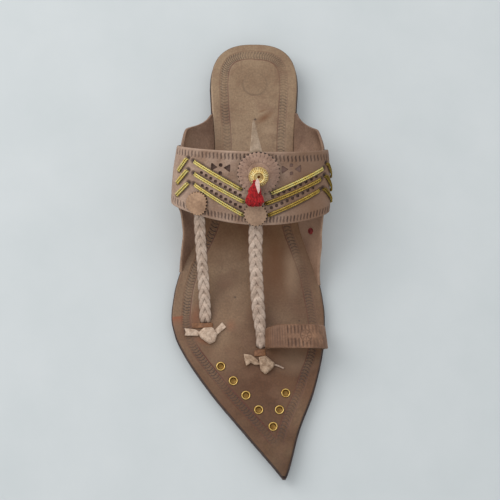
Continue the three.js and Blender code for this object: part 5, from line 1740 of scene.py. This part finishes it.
# %% The thong end
THONG_SHARES = (0.672, 0.472)


def thong_end():
    """The pale end of a thong, lying on the wool."""
    t = np.linspace(0, 1, 40)[:, None]
    lift = BUTTON_TOP + np.interp(t, [0, 0.33, 0.66, 1], [1.7, 2.1, 2.8, 3.0])
    left = np.interp(t, [0, 0.14, 0.27, 0.4, 1], [0.08, 0.9, 1.55, 1.5, 0.08])
    right = np.interp(t, [0, 0.1, 0.22, 0.75, 0.9, 1], [0.08, 0.6, 1.05, 1.0, 0.6, 0.08])
    across = np.linspace(-1, 1, 9)[None, :]
    u = 0.75 + np.where(across < 0, left, right) * across + 0.5 * t
    share = (THONG_SHARES[0] + (THONG_SHARES[1] - THONG_SHARES[0]) * t) * np.ones_like(u)
    outer = on_band(u, share, lift + 0.9 - 0.3 * across**2)
    inner = on_band(u, share, lift * np.ones_like(u))
    make_panel("thong_end", (outer, inner), [thong_leather], ["tassel_thong"])


thong_end()

# %% [markdown]
# ## Floor, light and camera
# A pale grey floor with soft light from the upper left, brighter behind the heel, and the camera high over
# the toe.

# %% The floor
floor_finish, tree, shader, place = new_finish("pale_floor")
clouds = ranged(tree, noise(tree, place, 60.0), 0.3, 0.7)
floor_tone = blend(tree, clouds, tone(206, 209, 209), tone(200, 204, 204))
tree.links.new(floor_tone, shader.inputs["Base Color"])
shader.inputs["Roughness"].default_value = 0.75
floor_mesh = bpy.data.meshes.new("floor")
FLOOR_HALF = 3.0
floor_corners = [(x * FLOOR_HALF, y * FLOOR_HALF, 0) for x, y in ((-1, -1), (1, -1), (1, 1), (-1, 1))]
floor_mesh.from_pydata(floor_corners, [], [(0, 1, 2, 3)])
floor_mesh.materials.append(floor_finish)
floor = bpy.data.objects.new("floor", floor_mesh)
bpy.context.scene.collection.objects.link(floor)
print("floor half width:", FLOOR_HALF)

# %% Light and camera
def soft_light(name, place, size, power, target=(0, 0, 0)):
    light = bpy.data.lights.new(name, "AREA")
    light.shape = "DISK"
    light.size = size
    light.energy = power
    lamp = bpy.data.objects.new(name, light)
    lamp.location = place
    lamp.rotation_euler = (Vector(target) - Vector(place)).to_track_quat("-Z", "Y").to_euler()
    bpy.context.scene.collection.objects.link(lamp)


soft_light("window", (-0.95, 0.55, 1.15), 1.3, 9.5)
soft_light("fill", (0.0, 0.5, 1.2), 1.4, 2.4)

world = bpy.data.worlds.new("room")
world.use_nodes = True
background = world.node_tree.nodes["Background"]
background.inputs["Color"].default_value = (0.93, 0.97, 1.0, 1)
background.inputs["Strength"].default_value = 0.73
bpy.context.scene.world = world
bpy.context.scene.view_settings.view_transform = "Standard"

TARGET = Vector((0, 0, 0.012))
CAMERA_DISTANCE = 1.1
CAMERA_ELEVATION = math.radians(75)
camera_data = bpy.data.cameras.new("camera")
camera_data.sensor_width = 36
camera_data.lens = 117.12
camera_data.shift_y = 0.01
camera = bpy.data.objects.new("camera", camera_data)
backwards = Vector((0, -math.cos(CAMERA_ELEVATION), math.sin(CAMERA_ELEVATION)))
camera.location = TARGET + backwards * CAMERA_DISTANCE
camera.rotation_euler = (-backwards).to_track_quat("-Z", "Y").to_euler()
bpy.context.scene.collection.objects.link(camera)
bpy.context.scene.camera = camera
print("camera at", [round(v, 3) for v in camera.location])
